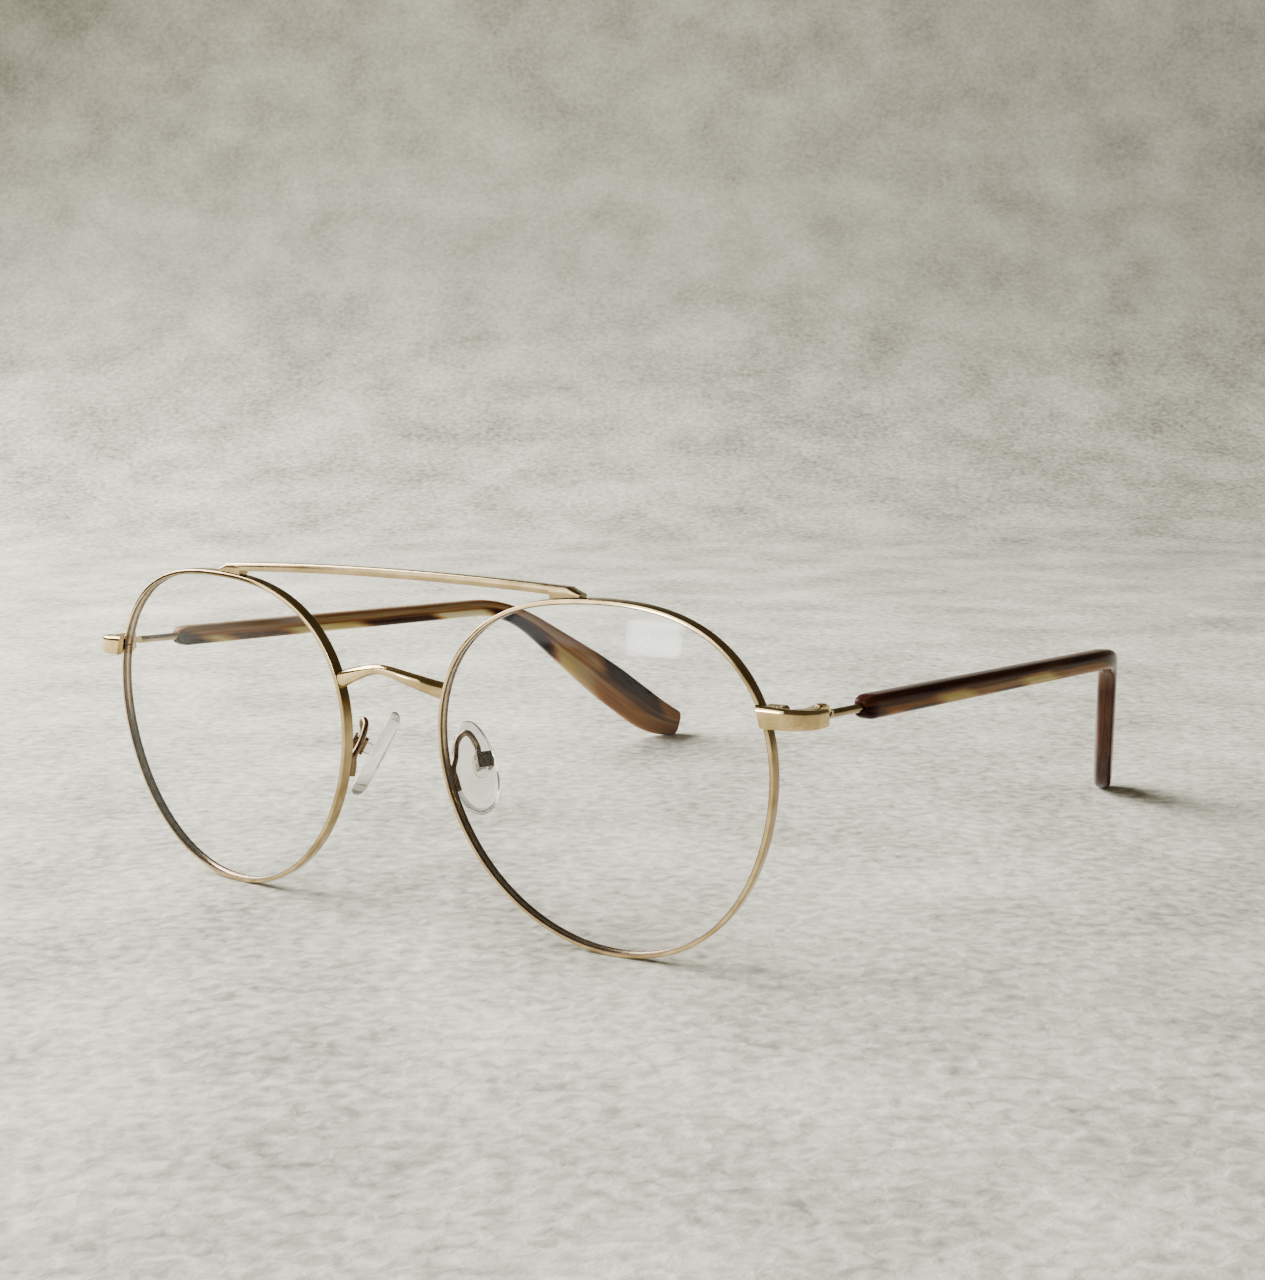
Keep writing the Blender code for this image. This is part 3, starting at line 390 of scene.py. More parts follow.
def bridge_rings():
    """Rounded rings along a hyperbola, swelling with the drop from the crown and trimmed to the rims."""
    reach = rim_point(BRIDGE_ANGLE, 0.0, 0.0)[0]
    x = reach * np.sin(np.linspace(-0.5 * math.pi, 0.5 * math.pi, BRIDGE_STEPS))
    drop = BRIDGE_SLOPE * (np.sqrt(x ** 2 + BRIDGE_CROWN ** 2) - BRIDGE_CROWN)
    path = np.stack([x, BRIDGE_Y + BRIDGE_BOW * x ** 2, BRIDGE_Z - drop], -1)
    along = along_unit(path)
    up = np.cross(along, (0.0, 1.0, 0.0))
    forward = np.cross(up, along)
    flare = 1.0 + BRIDGE_FLARE * drop / drop.max()
    across, tall = rounded_ring(BRIDGE_SIDES, BRIDGE_ROUND)
    rings = (path[:, None] + BRIDGE_HALF_DEPTH * across[None, :, None] * forward[:, None]
             + BRIDGE_HALF_HEIGHT * flare[:, None, None] * tall[None, :, None] * up[:, None])
    mirror = np.array([-1.0, 1.0, 1.0])
    return trim_to_rim(trim_to_rim(rings) * mirror) * mirror


fit(skin("saddle_bridge", bridge_rings()), "bridge", "front", GOLD)


# Top bar
# The brow bar is a flat strip of the same metal, slightly arched, with broken edges and mitred ends.
# A low foot at each end is soldered to the top of the rim.
BAR_TOP = 51.9
BAR_DROP = 0.00087
BAR_Y = -3.45
BAR_BOW = 0.0012
BAR_HEIGHT = 1.3
BAR_DEPTH = 1.8
BAR_EDGE = 0.3
BAR_EDGE_SHARE = 0.3
BAR_MITRE_FROM = 32.1
BAR_END = 34.0
BAR_END_RISE = 0.45
BAR_FOOT_FROM = 29.3
BAR_FOOT_STEP = 0.06
BAR_MIDDLE_RINGS = 40
BAR_FOOT_RINGS = 12
BAR_MITRE_RINGS = 6
BAR_PAINTED_SHADE = 0.35
BROW_FROM = 0.3 * math.pi
BROW_TO = 0.75 * math.pi
BROW_SAMPLES = 481


def rim_top(x):
    """Height of the rim's outer face over a place across the brow."""
    angle = np.linspace(BROW_FROM, BROW_TO, BROW_SAMPLES)[:, None]
    edges = rim_point(angle, 0.5 * RIM_WIDTH, np.array([[-0.5 * RIM_DEPTH, 0.0, 0.5 * RIM_DEPTH]]))
    return np.interp(-x, -edges[:, 1, 0], edges[..., 2].max(axis=1))


def bar_rings():
    """Rounded rectangles along the bar: the lower side drops to the rim at the feet, and the upper side
    falls at the mitres."""
    half_x = np.concatenate([np.linspace(0.0, BAR_FOOT_FROM - BAR_FOOT_STEP, BAR_MIDDLE_RINGS),
                             np.linspace(BAR_FOOT_FROM, BAR_MITRE_FROM, BAR_FOOT_RINGS),
                             np.linspace(BAR_MITRE_FROM, BAR_END, BAR_MITRE_RINGS)[1:]])
    x = np.concatenate([-half_x[:0:-1], half_x])
    reach = np.abs(x)
    top = BAR_TOP - BAR_DROP * reach ** 2
    bottom = np.where(reach >= BAR_FOOT_FROM, rim_top(reach), top - BAR_HEIGHT)
    mitre = np.clip((reach - BAR_MITRE_FROM) / (BAR_END - BAR_MITRE_FROM), 0.0, 1.0)
    top += mitre * (rim_top(BAR_END) + BAR_END_RISE - top)
    edge = np.minimum(BAR_EDGE, BAR_EDGE_SHARE * (top - bottom))
    half = 0.5 * BAR_DEPTH
    outline = rounded([(-1.0, -1.0), (1.0, -1.0), (1.0, 1.0), (-1.0, 1.0)], 1.0)
    corner = np.sign(outline)
    offset = corner - outline
    y = corner[None, :, 0] * half - offset[None, :, 0] * edge[:, None]
    z = (0.5 * (top + bottom)[:, None] + 0.5 * (top - bottom)[:, None] * corner[None, :, 1]
         - offset[None, :, 1] * edge[:, None])
    y += (BAR_Y + BAR_BOW * reach ** 2)[:, None]
    return np.stack([np.broadcast_to(x[:, None], y.shape), y, z], -1)


bar = skin("brow_bar", bar_rings())
# Painted shade: the brow bar is darkened about a third of the way to the painted brown, for its dark
# reflections
add_painted_shade(bar, BAR_PAINTED_SHADE)
fit(bar, "top_bar", "front", GOLD)


# End pieces
# Each end piece is a small plate on the rim's front that turns the corner and runs back to the hinge.
# It is bent from flat stock, its long edges are broken, and it is soldered to the upper closing block.
PLATE_FRONT = np.array([59.85, -0.74])
PLATE_TURN = np.array([63.2, -0.41])
PLATE_OUTER_X = 67.4
PLATE_BACK_Y = 5.1
PLATE_THICKNESS = 1.0
PLATE_BOTTOM = 34.35
PLATE_TOP = 37.35
PLATE_BACK_TOP = 36.75
PLATE_RAKE = 0.75
PLATE_RAKE_REACH = 3.0
PLATE_EDGE = 0.26
PLATE_FRONT_RINGS = 10
PLATE_ARC_RINGS = 20
PLATE_BACK_RINGS = 6


def plate_path():
    """Plan of the plate's outer face: a straight front, an arc round the corner and a straight back."""
    along = (PLATE_TURN - PLATE_FRONT) / np.linalg.norm(PLATE_TURN - PLATE_FRONT)
    corner_radius = (PLATE_OUTER_X - PLATE_TURN[0]) / (1.0 - along[1])
    centre = PLATE_TURN + corner_radius * np.array([-along[1], along[0]])
    sweep = np.linspace(math.atan2(-along[0], along[1]), 0.0, PLATE_ARC_RINGS)
    arc = centre + corner_radius * np.stack([np.cos(sweep), np.sin(sweep)], -1)
    to_turn = np.linspace(0.0, 1.0, PLATE_FRONT_RINGS)[:-1, None]
    front = PLATE_FRONT + to_turn * (PLATE_TURN - PLATE_FRONT)
    to_back = np.linspace(0.0, 1.0, PLATE_BACK_RINGS)[1:, None]
    back = arc[-1] + to_back * ((PLATE_OUTER_X, PLATE_BACK_Y) - arc[-1])
    return np.vstack([front, arc, back])


def endpiece_rings():
    """Rounded rectangles across the plan, lower towards the hinge and raked back at the front end."""
    path = plate_path()
    along = along_unit(path)
    inward = np.stack([-along[:, 1], along[:, 0]], -1)
    run = np.concatenate([[0.0], np.cumsum(np.linalg.norm(np.diff(path, axis=0), axis=1))])
    top = PLATE_TOP + run / run[-1] * (PLATE_BACK_TOP - PLATE_TOP)
    outline = rounded([(0.0, 0.0), (0.0, 1.0), (1.0, 1.0), (1.0, 0.0)], PLATE_EDGE)
    height = PLATE_BOTTOM + outline[None, :, 1] * (top - PLATE_BOTTOM)[:, None]
    plan = path[:, None] + PLATE_THICKNESS * outline[None, :, :1] * inward[:, None]
    rings = np.concatenate([plan, height[..., None]], -1)
    below = (PLATE_TOP - rings[..., 2]) / (PLATE_TOP - PLATE_BOTTOM)
    rings[..., 0] += PLATE_RAKE * below * np.clip(1.0 - run / PLATE_RAKE_REACH, 0.0, 1.0)[:, None]
    return rings


for side, sign in SIDES:
    piece = skin(f"bent_endpiece_{side}", endpiece_rings(), sign)
    fit(piece, f"endpiece_{side}", "front", GOLD)


# Closing blocks and their screws
# Two half blocks are soldered to the rim's sawn ends behind each end piece.
# A slotted lens screw from below draws the halves together.
BLOCK_REACH = 1.5
BLOCK_UPPER_HEIGHT = 0.8
BLOCK_LOWER_HEIGHT = 1.5
BLOCK_MIDDLE = -0.65
BLOCK_EDGE = 0.09
BLOCK_SHANK = 0.42
BLOCK_HEAD = 0.64
BLOCK_HEAD_HEIGHT = 0.36
BLOCK_POINT = 0.1
# Rounded end of the head: distance from its face and radius
BLOCK_CROWN = ((0.0, 0.3), (0.02, 0.42), (0.12, 0.6), (0.18, BLOCK_HEAD))
SAME_POINT = 1e-6
SAME_FACE = math.radians(1.0)
SOLID_CREASE = 32.0
BEVEL_STEPS = 2
SCREW_SIDES = 40
SLOT_HALF = 0.1
SLOT_DEPTH = 0.17
# A direction that no screw runs along
SLOT_HINT = (0.2, 0.9, 0.1)


def dressed(name, node, edge):
    """Copy of a small solid: triangles merged to whole faces, then its edges broken by a bevel."""
    work = bmesh.new()
    work.from_mesh(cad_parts[node].data)
    bmesh.ops.remove_doubles(work, verts=work.verts, dist=SAME_POINT)
    bmesh.ops.dissolve_limit(work, angle_limit=SAME_FACE, verts=work.verts, edges=work.edges)
    mesh = bpy.data.meshes.new(name)
    work.to_mesh(mesh)
    work.free()
    kept_normals = mesh.attributes.get("custom_normal")
    if kept_normals:
        mesh.attributes.remove(kept_normals)
    piece = add_object(name, mesh, SOLID_CREASE)
    broken = piece.modifiers.new("broken_edges", "BEVEL")
    broken.width = edge * MM
    broken.segments = BEVEL_STEPS
    broken.limit_method = "ANGLE"
    broken.angle_limit = math.radians(SOLID_CREASE)
    return piece


def slotted_screw(name, profile, place, direction, face, sign):
    """Turned screw: rings of a profile of distance and radius about an axis through a place, with a driver
    slot cut into its head, whose face lies at the given distance."""
    direction = np.array(direction) / np.linalg.norm(direction)
    first = np.cross(direction, SLOT_HINT)
    first /= np.linalg.norm(first)
    second = np.cross(direction, first)
    turn = np.arange(SCREW_SIDES)[None, :, None] * 2.0 * math.pi / SCREW_SIDES
    along, radius = np.array(profile).T
    circle = np.cos(turn) * first + np.sin(turn) * second
    piece = skin(name, place + along[:, None, None] * direction + radius[:, None, None] * circle, sign)
    reach = 2.0 * np.max(radius)
    corners = np.array([(-reach, -SLOT_HALF), (reach, -SLOT_HALF), (reach, SLOT_HALF), (-reach, SLOT_HALF)])
    flat = place + corners[:, :1] * first + corners[:, 1:] * second
    outward = 1.0 if face > np.mean(along) else -1.0
    ends = np.array([face - outward * SLOT_DEPTH, face + outward])
    cutter = skin(f"{name}_slot", flat[None] + ends[:, None, None] * direction, sign)
    slot = piece.modifiers.new("slot", "BOOLEAN")
    slot.object = cutter
    bpy.context.view_layer.update()
    mesh = bpy.data.meshes.new_from_object(piece.evaluated_get(bpy.context.evaluated_depsgraph_get()))
    piece.modifiers.clear()
    piece.data = mesh
    mesh.set_sharp_from_angle(angle=math.radians(SOFT_CREASE))
    bpy.data.objects.remove(cutter)
    return piece


block_foot = rim_radius(CUT_ANGLE) + 0.5 * RIM_WIDTH + LENS_SEAT
block_middle = (np.array([LENS_CENTRE_X, 0.0, LENS_CENTRE_Z])
                + (block_foot * math.cos(CUT_ANGLE) + BLOCK_REACH) * LENS_OUT
                + block_foot * math.sin(CUT_ANGLE) * LENS_UP + BLOCK_MIDDLE * LENS_FORWARD)
block_top = BLOCK_UPPER_HEIGHT + 0.5 * CUT_GAP
block_seat = -BLOCK_LOWER_HEIGHT - 0.5 * CUT_GAP - LENS_SEAT
block_face = block_seat - BLOCK_HEAD_HEIGHT
closing_profile = [*((block_face + rise, radius) for rise, radius in BLOCK_CROWN),
                   (block_seat, BLOCK_HEAD), (block_seat, BLOCK_SHANK),
                   (block_top - BLOCK_POINT, BLOCK_SHANK), (block_top, BLOCK_SHANK - BLOCK_POINT)]
for side, sign in SIDES:
    for half in ("upper", "lower"):
        node = f"closing_block_{half}_{side}"
        piece = dressed(f"half_block_{half}_{side}", node, BLOCK_EDGE)
        fit(piece, node, "front", GOLD)
    piece = slotted_screw(f"lens_screw_{side}", closing_profile, block_middle, LENS_UP, block_face, sign)
    fit(piece, f"closing_screw_{side}", "front", GOLD)


# Hinges
# Each hinge has three knuckles: two on a leaf soldered inside the end piece, one on the temple's tang.
# A slotted screw from above goes through all three and is the axis that the temple folds on.
HINGE = np.array([65.55, 6.3, 35.55])
HINGE_AXIS = (0.0, 0.0, 1.0)
HINGE_HALF = 1.315
HINGE_SHANK = 0.56
HINGE_HEAD = 0.8
HINGE_EDGE = 0.07
HINGE_HEAD_PLAY = 0.04
HINGE_POINT_LENGTH = 0.1
HINGE_POINT_RADIUS = 0.44
# Rounded end of the head: distance above the knuckles and radius
HINGE_CROWN = ((0.13, HINGE_HEAD), (0.19, 0.74), (0.24, 0.6), (0.24, 0.3))
hinge_seat = HINGE_HALF + HINGE_HEAD_PLAY
hinge_face = HINGE_HALF + HINGE_CROWN[-1][0]
hinge_profile = [(-HINGE_HALF - HINGE_POINT_LENGTH, HINGE_POINT_RADIUS), (-HINGE_HALF, HINGE_SHANK),
                 (hinge_seat, HINGE_SHANK), (hinge_seat, HINGE_HEAD),
                 *((HINGE_HALF + rise, radius) for rise, radius in HINGE_CROWN)]
for side, sign in SIDES:
    leaf = dressed(f"leaf_hinge_{side}", f"front_hinge_{side}", HINGE_EDGE)
    fit(leaf, f"front_hinge_{side}", "front", GOLD)
    pin = slotted_screw(f"hinge_pin_{side}", hinge_profile, HINGE, HINGE_AXIS, hinge_face, sign)
    fit(pin, f"hinge_screw_{side}", "front", GOLD)
    knuckle = dressed(f"tang_hinge_{side}", f"temple_hinge_{side}", HINGE_EDGE)
    fit(knuckle, f"temple_hinge_{side}", f"temple_{side}", GOLD)


# Temple cores
# A bare round wire runs from the hinge's tang into the acetate, where it stiffens the temple.
# It is drawn metal, plated like the front, and bent together with the sleeve over the ear.
TEMPLE_HEADING = math.radians(0.8)
TEMPLE_SLOPE = math.radians(-2.4)
EAR_TURN = math.radians(-22.5)
EAR_TURN_FROM = 86.9
EAR_TURN_TO = 103.9
EAR_DROP_GUESS = math.radians(-35.5)
EAR_DROP_FROM = 88.9
EAR_DROP_TO = 110.9
EAR_DROP_ROUNDS = 12
TIP_RISE = math.radians(20.0)
TIP_RISE_FROM = 138.9
TEMPLE_END = 151.4
TEMPLE_SAMPLES = 1506
TANG_LENGTH = 2.2
CORE_RADIUS = 0.6
CORE_END = 133.9
CORE_STRAIGHT_RINGS = 30
CORE_BENT_RINGS = 60
CORE_ROUND = 2.0
CORE_DARKENING = 0.5
WIRE_SIDES = 24
SLEEVE_HALF_HEIGHT = 1.7
SLEEVE_HALF_THICK = 1.6
TIP_HALF_HEIGHT = 4.2
TIP_HALF_THICK = 1.72
TIP_SWELL_FROM = 96.9
TIP_SWELL_TO = 133.9
TIP_TAPER_FROM = 139.9
TIP_END_HALF = 2.55
TIP_SAMPLES = 200


def smooth_step(value, start, stop):
    """Ease from zero at start to one at stop along a cubic."""
    t = np.clip((np.asarray(value, dtype=float) - start) / (stop - start), 0.0, 1.0)
    return t * t * (3.0 - 2.0 * t)


def temple_line(distance, drop):
    """Centre line by distance from the hinge: heading and pitch are eased bends, summed to places."""
    step = np.linspace(0.0, TEMPLE_END, TEMPLE_SAMPLES)
    heading = TEMPLE_HEADING + EAR_TURN * smooth_step(step, EAR_TURN_FROM, EAR_TURN_TO)
    pitch = (TEMPLE_SLOPE + drop * smooth_step(step, EAR_DROP_FROM, EAR_DROP_TO)
             + TIP_RISE * smooth_step(step, TIP_RISE_FROM, TEMPLE_END))
    level = np.cos(pitch)
    along = np.stack([np.sin(heading) * level, np.cos(heading) * level, np.sin(pitch)], -1)
    middle = 0.5 * (along[1:] + along[:-1]) * (step[1] - step[0])
    points = np.vstack([np.zeros(3), np.cumsum(middle, axis=0)]) + HINGE
    place = np.stack([np.interp(distance, step, points[:, axis]) for axis in range(3)], -1)
    tangent = np.stack([np.interp(distance, step, along[:, axis]) for axis in range(3)], -1)
    side_way = np.cross(tangent, (0.0, 0.0, 1.0))
    side_way /= np.linalg.norm(side_way, axis=-1, keepdims=True)
    up = np.cross(side_way, tangent)
    return place, side_way, up / np.linalg.norm(up, axis=-1, keepdims=True)


def sleeve_half_height(distance):
    """Half height of the temple: a rod that swells to a paddle and narrows at its end."""
    swell = smooth_step(distance, TIP_SWELL_FROM, TIP_SWELL_TO)
    taper = np.clip((distance - TIP_TAPER_FROM) / (TEMPLE_END - TIP_TAPER_FROM), 0.0, 1.0) ** 2
    paddle = SLEEVE_HALF_HEIGHT + (TIP_HALF_HEIGHT - SLEEVE_HALF_HEIGHT) * swell
    return paddle - (TIP_HALF_HEIGHT - TIP_END_HALF) * taper


def standing_drop():
    """Bend behind the ear that brings the paddle's lower edge to the floor, by repeated correction."""
    distance = np.linspace(TIP_SWELL_TO, TEMPLE_END, TIP_SAMPLES)
    half_height = sleeve_half_height(distance)
    drop = EAR_DROP_GUESS
    for _ in range(EAR_DROP_ROUNDS):
        place, _, up = temple_line(distance, drop)
        drop -= np.min(place[:, 2] - up[:, 2] * half_height) / (TEMPLE_END - EAR_DROP_FROM)
    return drop


EAR_DROP = standing_drop()


def section_rings(distance, half_thick, half_height, power, sides):
    """Rounded rings across the temple's centre line."""
    place, side_way, up = temple_line(distance, EAR_DROP)
    across, tall = rounded_ring(sides, power)
    sideways = np.reshape(half_thick, (-1, 1, 1)) * across[None, :, None]
    upwards = np.reshape(half_height, (-1, 1, 1)) * tall[None, :, None]
    return place[:, None] + sideways * side_way[:, None] + upwards * up[:, None]


core_run = np.concatenate([np.linspace(TANG_LENGTH, EAR_TURN_FROM, CORE_STRAIGHT_RINGS),
                           np.linspace(EAR_TURN_FROM, CORE_END, CORE_BENT_RINGS)[1:]])
core_rings = section_rings(core_run, CORE_RADIUS, CORE_RADIUS, CORE_ROUND, WIRE_SIDES)
for side, sign in SIDES:
    piece = skin(f"bare_core_{side}", core_rings, sign)
    # The bare core is darkened halfway to the plate's painted dark brown
    add_painted_shade(piece, CORE_DARKENING)
    fit(piece, f"temple_core_{side}", f"temple_{side}", GOLD)


# Temple sleeves
# Each sleeve is streaked tortoise-shell acetate, bored for the core, tumbled to a high gloss and bent over
# the ear.  The colours are layers in the sheet it was cut from, so the streaks follow its length; the split
# at mid-height, darker above and lighter below, is partly painted shade for how light falls on the sides.
SLEEVE_FRONT = 10.3
SLEEVE_ROUND = 3.4
SLEEVE_SIDES = 48
SLEEVE_STRAIGHT_RINGS = 100
SLEEVE_BENT_RINGS = 110
SLEEVE_BORE = 0.65
SLEEVE_BORE_DEPTH = 3.0
# Rings of the rounded nose and of the tip's broken edge: distance from the end and inset
SLEEVE_NOSE = ((0.0, 0.8), (0.08, 0.68), (0.3, 0.5), (0.65, 0.32), (1.1, 0.16), (1.6, 0.05), (2.1, 0.0))
SLEEVE_NOSE_LENGTH = 3.0
SLEEVE_TAIL = ((0.54, 0.03), (0.34, 0.12), (0.16, 0.3), (0.04, 0.5))
SLEEVE_TAIL_LENGTH = 0.7


def sleeve_parts():
    """Rings out of the bore's mouth, over the rounded nose, along the temple and over the cut-off tip."""
    nose, nose_inset = np.transpose(SLEEVE_NOSE)
    tail, tail_inset = np.transpose(SLEEVE_TAIL)
    run = np.concatenate([
        np.linspace(SLEEVE_FRONT + SLEEVE_NOSE_LENGTH, EAR_TURN_FROM, SLEEVE_STRAIGHT_RINGS),
        np.linspace(EAR_TURN_FROM, TEMPLE_END - SLEEVE_TAIL_LENGTH, SLEEVE_BENT_RINGS)[1:]])
    distance = np.concatenate([SLEEVE_FRONT + nose, run, TEMPLE_END - tail])
    inset = np.concatenate([nose_inset, np.zeros(len(run)), tail_inset])
    swell = smooth_step(distance, TIP_SWELL_FROM, TIP_SWELL_TO)
    half_thick = SLEEVE_HALF_THICK + (TIP_HALF_THICK - SLEEVE_HALF_THICK) * swell
    outside = section_rings(distance, half_thick - inset, sleeve_half_height(distance) - inset,
                            SLEEVE_ROUND, SLEEVE_SIDES)
    mouth = np.array([SLEEVE_FRONT + SLEEVE_BORE_DEPTH, SLEEVE_FRONT])
    bore = section_rings(mouth, SLEEVE_BORE, SLEEVE_BORE, CORE_ROUND, SLEEVE_SIDES)
    return np.concatenate([mouth, distance]), np.concatenate([bore, outside])


# Clouds in each sheet, laid over one another: start and stop in millimetres from the hinge, lower and
# upper edge in half heights of the section, and lightness.  Clouds that stop at mid-height leave the upper
# half darker and the lower half lighter: partly the sheet's own streaks, partly painted shade for the dark
# reflection above and the floor's light below.
LEFT_CLOUDS = (
    (0.0, 160.0, -2.0, 2.0, 0.15), (0.0, 28.0, -2.0, 0.1, 0.45), (17.0, 30.0, -2.0, -0.6, 0.12),
    (28.0, 41.0, -2.0, 0.1, 0.78), (40.0, 57.0, -2.0, 0.1, 0.50), (46.0, 58.0, -2.0, -0.6, 0.14),
    (56.0, 70.0, -2.0, 0.1, 0.82), (69.0, 92.0, -2.0, 0.15, 0.50), (91.0, 104.0, -2.0, 2.0, 0.27),
    (103.0, 126.0, -2.0, 2.0, 0.20), (126.0, 160.0, -2.0, 2.0, 0.15), (0.0, 11.5, -2.0, 2.0, 0.05))
RIGHT_CLOUDS = (
    (0.0, 160.0, -2.0, 2.0, 0.57), (0.0, 98.0, -2.0, -0.05, 0.84), (19.0, 34.0, -2.0, -0.1, 0.26),
    (54.0, 77.0, -2.0, -0.05, 0.14), (76.0, 96.0, -2.0, -0.05, 0.94), (93.0, 114.0, -2.0, 0.0, 0.03),
    (97.0, 130.0, 0.6, 2.0, 0.50), (111.0, 128.0, -2.0, 0.0, 0.66), (124.0, 160.0, -2.0, 0.05, 0.45),
    (129.0, 149.0, 0.1, 2.0, 0.03), (148.0, 160.0, -2.0, 2.0, 0.47), (0.0, 13.5, -2.0, 2.0, 0.03))
CLOUD_SLANT = 5.0
CLOUD_END = 3.0
CLOUD_EDGE = 0.1
STREAK_SHIFT = 400.0


def soft_band(value, start, stop, ease):
    """One between start and stop and zero outside, easing over the same width on either side of both."""
    return smooth_step(value, start - ease, start + ease) - smooth_step(value, stop - ease, stop + ease)


def add_flow(piece, distance, shift, clouds):
    """Attributes for the streaks: the place along, across and up the section, and the lightness with its
    painted shade, which is each cloud's own inside its slanted ends and its edges and the earlier cloud's
    outside them."""
    across, tall = rounded_ring(SLEEVE_SIDES, SLEEVE_ROUND)
    flow = np.stack(np.broadcast_arrays(distance[:, None] + shift, across[None], tall[None]), -1)
    run = distance[:, None] + CLOUD_SLANT * tall[None]
    light = np.zeros_like(run)
    # Clouds that stop at mid-height paint the lower half lighter than the upper half: partly painted shade
    for start, stop, low, high, own in clouds:
        inside = soft_band(run, start, stop, CLOUD_END) * soft_band(tall, low, high, CLOUD_EDGE)[None]
        light += (own - light) * inside
    layer = piece.data.attributes.new("flow", "FLOAT_VECTOR", "POINT")
    layer.data.foreach_set("vector", flow.astype(np.float32).ravel())
    layer = piece.data.attributes.new("lightness", "FLOAT", "POINT")
    layer.data.foreach_set("value", light.astype(np.float32).ravel())


ACETATE_STOPS = [(0.02, (0.006, 0.002, 0.002)), (0.16, (0.046, 0.012, 0.009)),
                 (0.32, (0.098, 0.045, 0.021)), (0.47, (0.26, 0.098, 0.025)), (0.60, (0.28, 0.178, 0.10)),
                 (0.76, (0.44, 0.31, 0.065)), (0.95, (0.66, 0.57, 0.36))]
ACETATE_SPECULAR = 0.05
ACETATE_ROUGHNESS = 0.10
BAND_STRETCH = (0.05, 1.1, 1.6)
BAND_NOISE = {"Scale": 1.0, "Detail": 2.0, "Roughness": 0.5, "Distortion": 0.6}
BAND_SHARE = 0.35
THREAD_STRETCH = (0.09, 4.5, 7.0)
THREAD_NOISE = {"Scale": 1.0, "Detail": 3.0}
THREAD_SHARE = 0.35
THREAD_ROUGHNESS = 0.10
CORE_SHADE = 0.16
CORE_SHADE_EDGE = 0.03


def tortoise_acetate():
    """Streaks: the lightness read from the points, which holds painted shade as well as the sheet's own
    clouds, unsettled by noise that is stretched along the temple.  The core shows through as a darker line
    along the middle of each side."""
    finish, shader, tone = surface("tortoise_acetate")
    flow = tone.node("ShaderNodeAttribute", {"attribute_name": "flow"}, output="Vector")
    lightness = tone.node("ShaderNodeAttribute", {"attribute_name": "lightness"}, output="Fac")
    tall = tone.node("ShaderNodeSeparateXYZ", None, {"Vector": flow}, output="Z")
    broad = tone.node("ShaderNodeVectorMath", {"operation": "MULTIPLY"}, {0: flow, 1: BAND_STRETCH})
    narrow = tone.node("ShaderNodeVectorMath", {"operation": "MULTIPLY"}, {0: flow, 1: THREAD_STRETCH})
    bands = tone.node("ShaderNodeTexNoise", None, {"Vector": broad, **BAND_NOISE})
    threads = tone.node("ShaderNodeTexNoise", None, {"Vector": narrow, **THREAD_NOISE})
    core = 1.0 - tone.node("ShaderNodeMapRange", {"interpolation_type": "SMOOTHSTEP"},
                           {"Value": tall * tall, "From Min": 0.0, "From Max": CORE_SHADE_EDGE})
    mix = (lightness + BAND_SHARE * (bands - 0.5) + THREAD_SHARE * (threads - 0.5)
           - CORE_SHADE * core)
    colour = tone.node("ShaderNodeValToRGB", {"stops": ACETATE_STOPS}, {"Fac": mix})
    colour.feed(shader, "Base Color")
    (ACETATE_ROUGHNESS + THREAD_ROUGHNESS * threads).feed(shader, "Roughness")
    shader.inputs["Specular IOR Level"].default_value = ACETATE_SPECULAR
    return finish


ACETATE = tortoise_acetate()
sleeve_distance, sleeve_rings = sleeve_parts()
for (side, sign), clouds, shift in zip(SIDES, (LEFT_CLOUDS, RIGHT_CLOUDS), (0.0, STREAK_SHIFT)):
    piece = skin(f"acetate_sleeve_{side}", sleeve_rings, sign)
    add_flow(piece, sleeve_distance, shift, clouds)
    fit(piece, f"temple_sleeve_{side}", f"temple_{side}", ACETATE)


# Pad arms, boxes and screws
# Each arm is a thin wire soldered to the rim's back; it loops over and runs down to a small clevis, the
# box.  A slotted screw across the box holds the pad's lug, so that the pad can rock.
PAD_CENTRE = np.array([9.4, 4.6, 22.7])
PAD_RUN = np.array([5.56, -3.37, -12.2])
PAD_SPLAY = math.radians(38.0)
PAD_PIVOT = 2.9
PAD_MOUNT_SHIFT = 0.8
PAD_BOX_HALF_LENGTH = 1.15
PAD_BOX_HALF_WIDTH = 1.12
PAD_BOX_EDGE = 0.1
PAD_SHANK = 0.38
PAD_HEAD = 0.66
PAD_HEAD_PLAY = 0.04
PAD_POINT_LENGTH = 0.1
PAD_POINT_RADIUS = 0.3
# Rounded end of the head: distance beyond the box and radius
PAD_CROWN = ((0.26, PAD_HEAD), (0.34, 0.59), (0.42, 0.44), (0.42, 0.25))
PAD_ARM_RADIUS = 0.45
PAD_ARM_SIDE = -0.65
PAD_ARM_OUT = 0.5
PAD_FOOT_RADIUS = 0.55
PAD_FOOT_OUT = 0.1
PAD_FOOT_ANGLES = (192.5, 189.0, 185.5)
PAD_ARM_LOOP = ((9.2, 0.65, 24.9), (8.85, 1.3, 26.6), (9.1, 1.95, 27.75),
                (9.85, 2.4, 28.25), (10.55, 2.7, 27.75))
PAD_ARM_STEPS = 14
PAD_ARM_PAINTED_SHADE = 0.8
PAD_LONG = PAD_RUN / np.linalg.norm(PAD_RUN)
pad_wide = np.array([math.sin(PAD_SPLAY), math.cos(PAD_SPLAY), 0.0])
pad_wide -= PAD_LONG * np.dot(pad_wide, PAD_LONG)
PAD_WIDE = pad_wide / np.linalg.norm(pad_wide)
PAD_OUT = np.cross(PAD_LONG, PAD_WIDE)
PAD_AXIS = PAD_CENTRE + PAD_MOUNT_SHIFT * PAD_WIDE + PAD_PIVOT * PAD_OUT


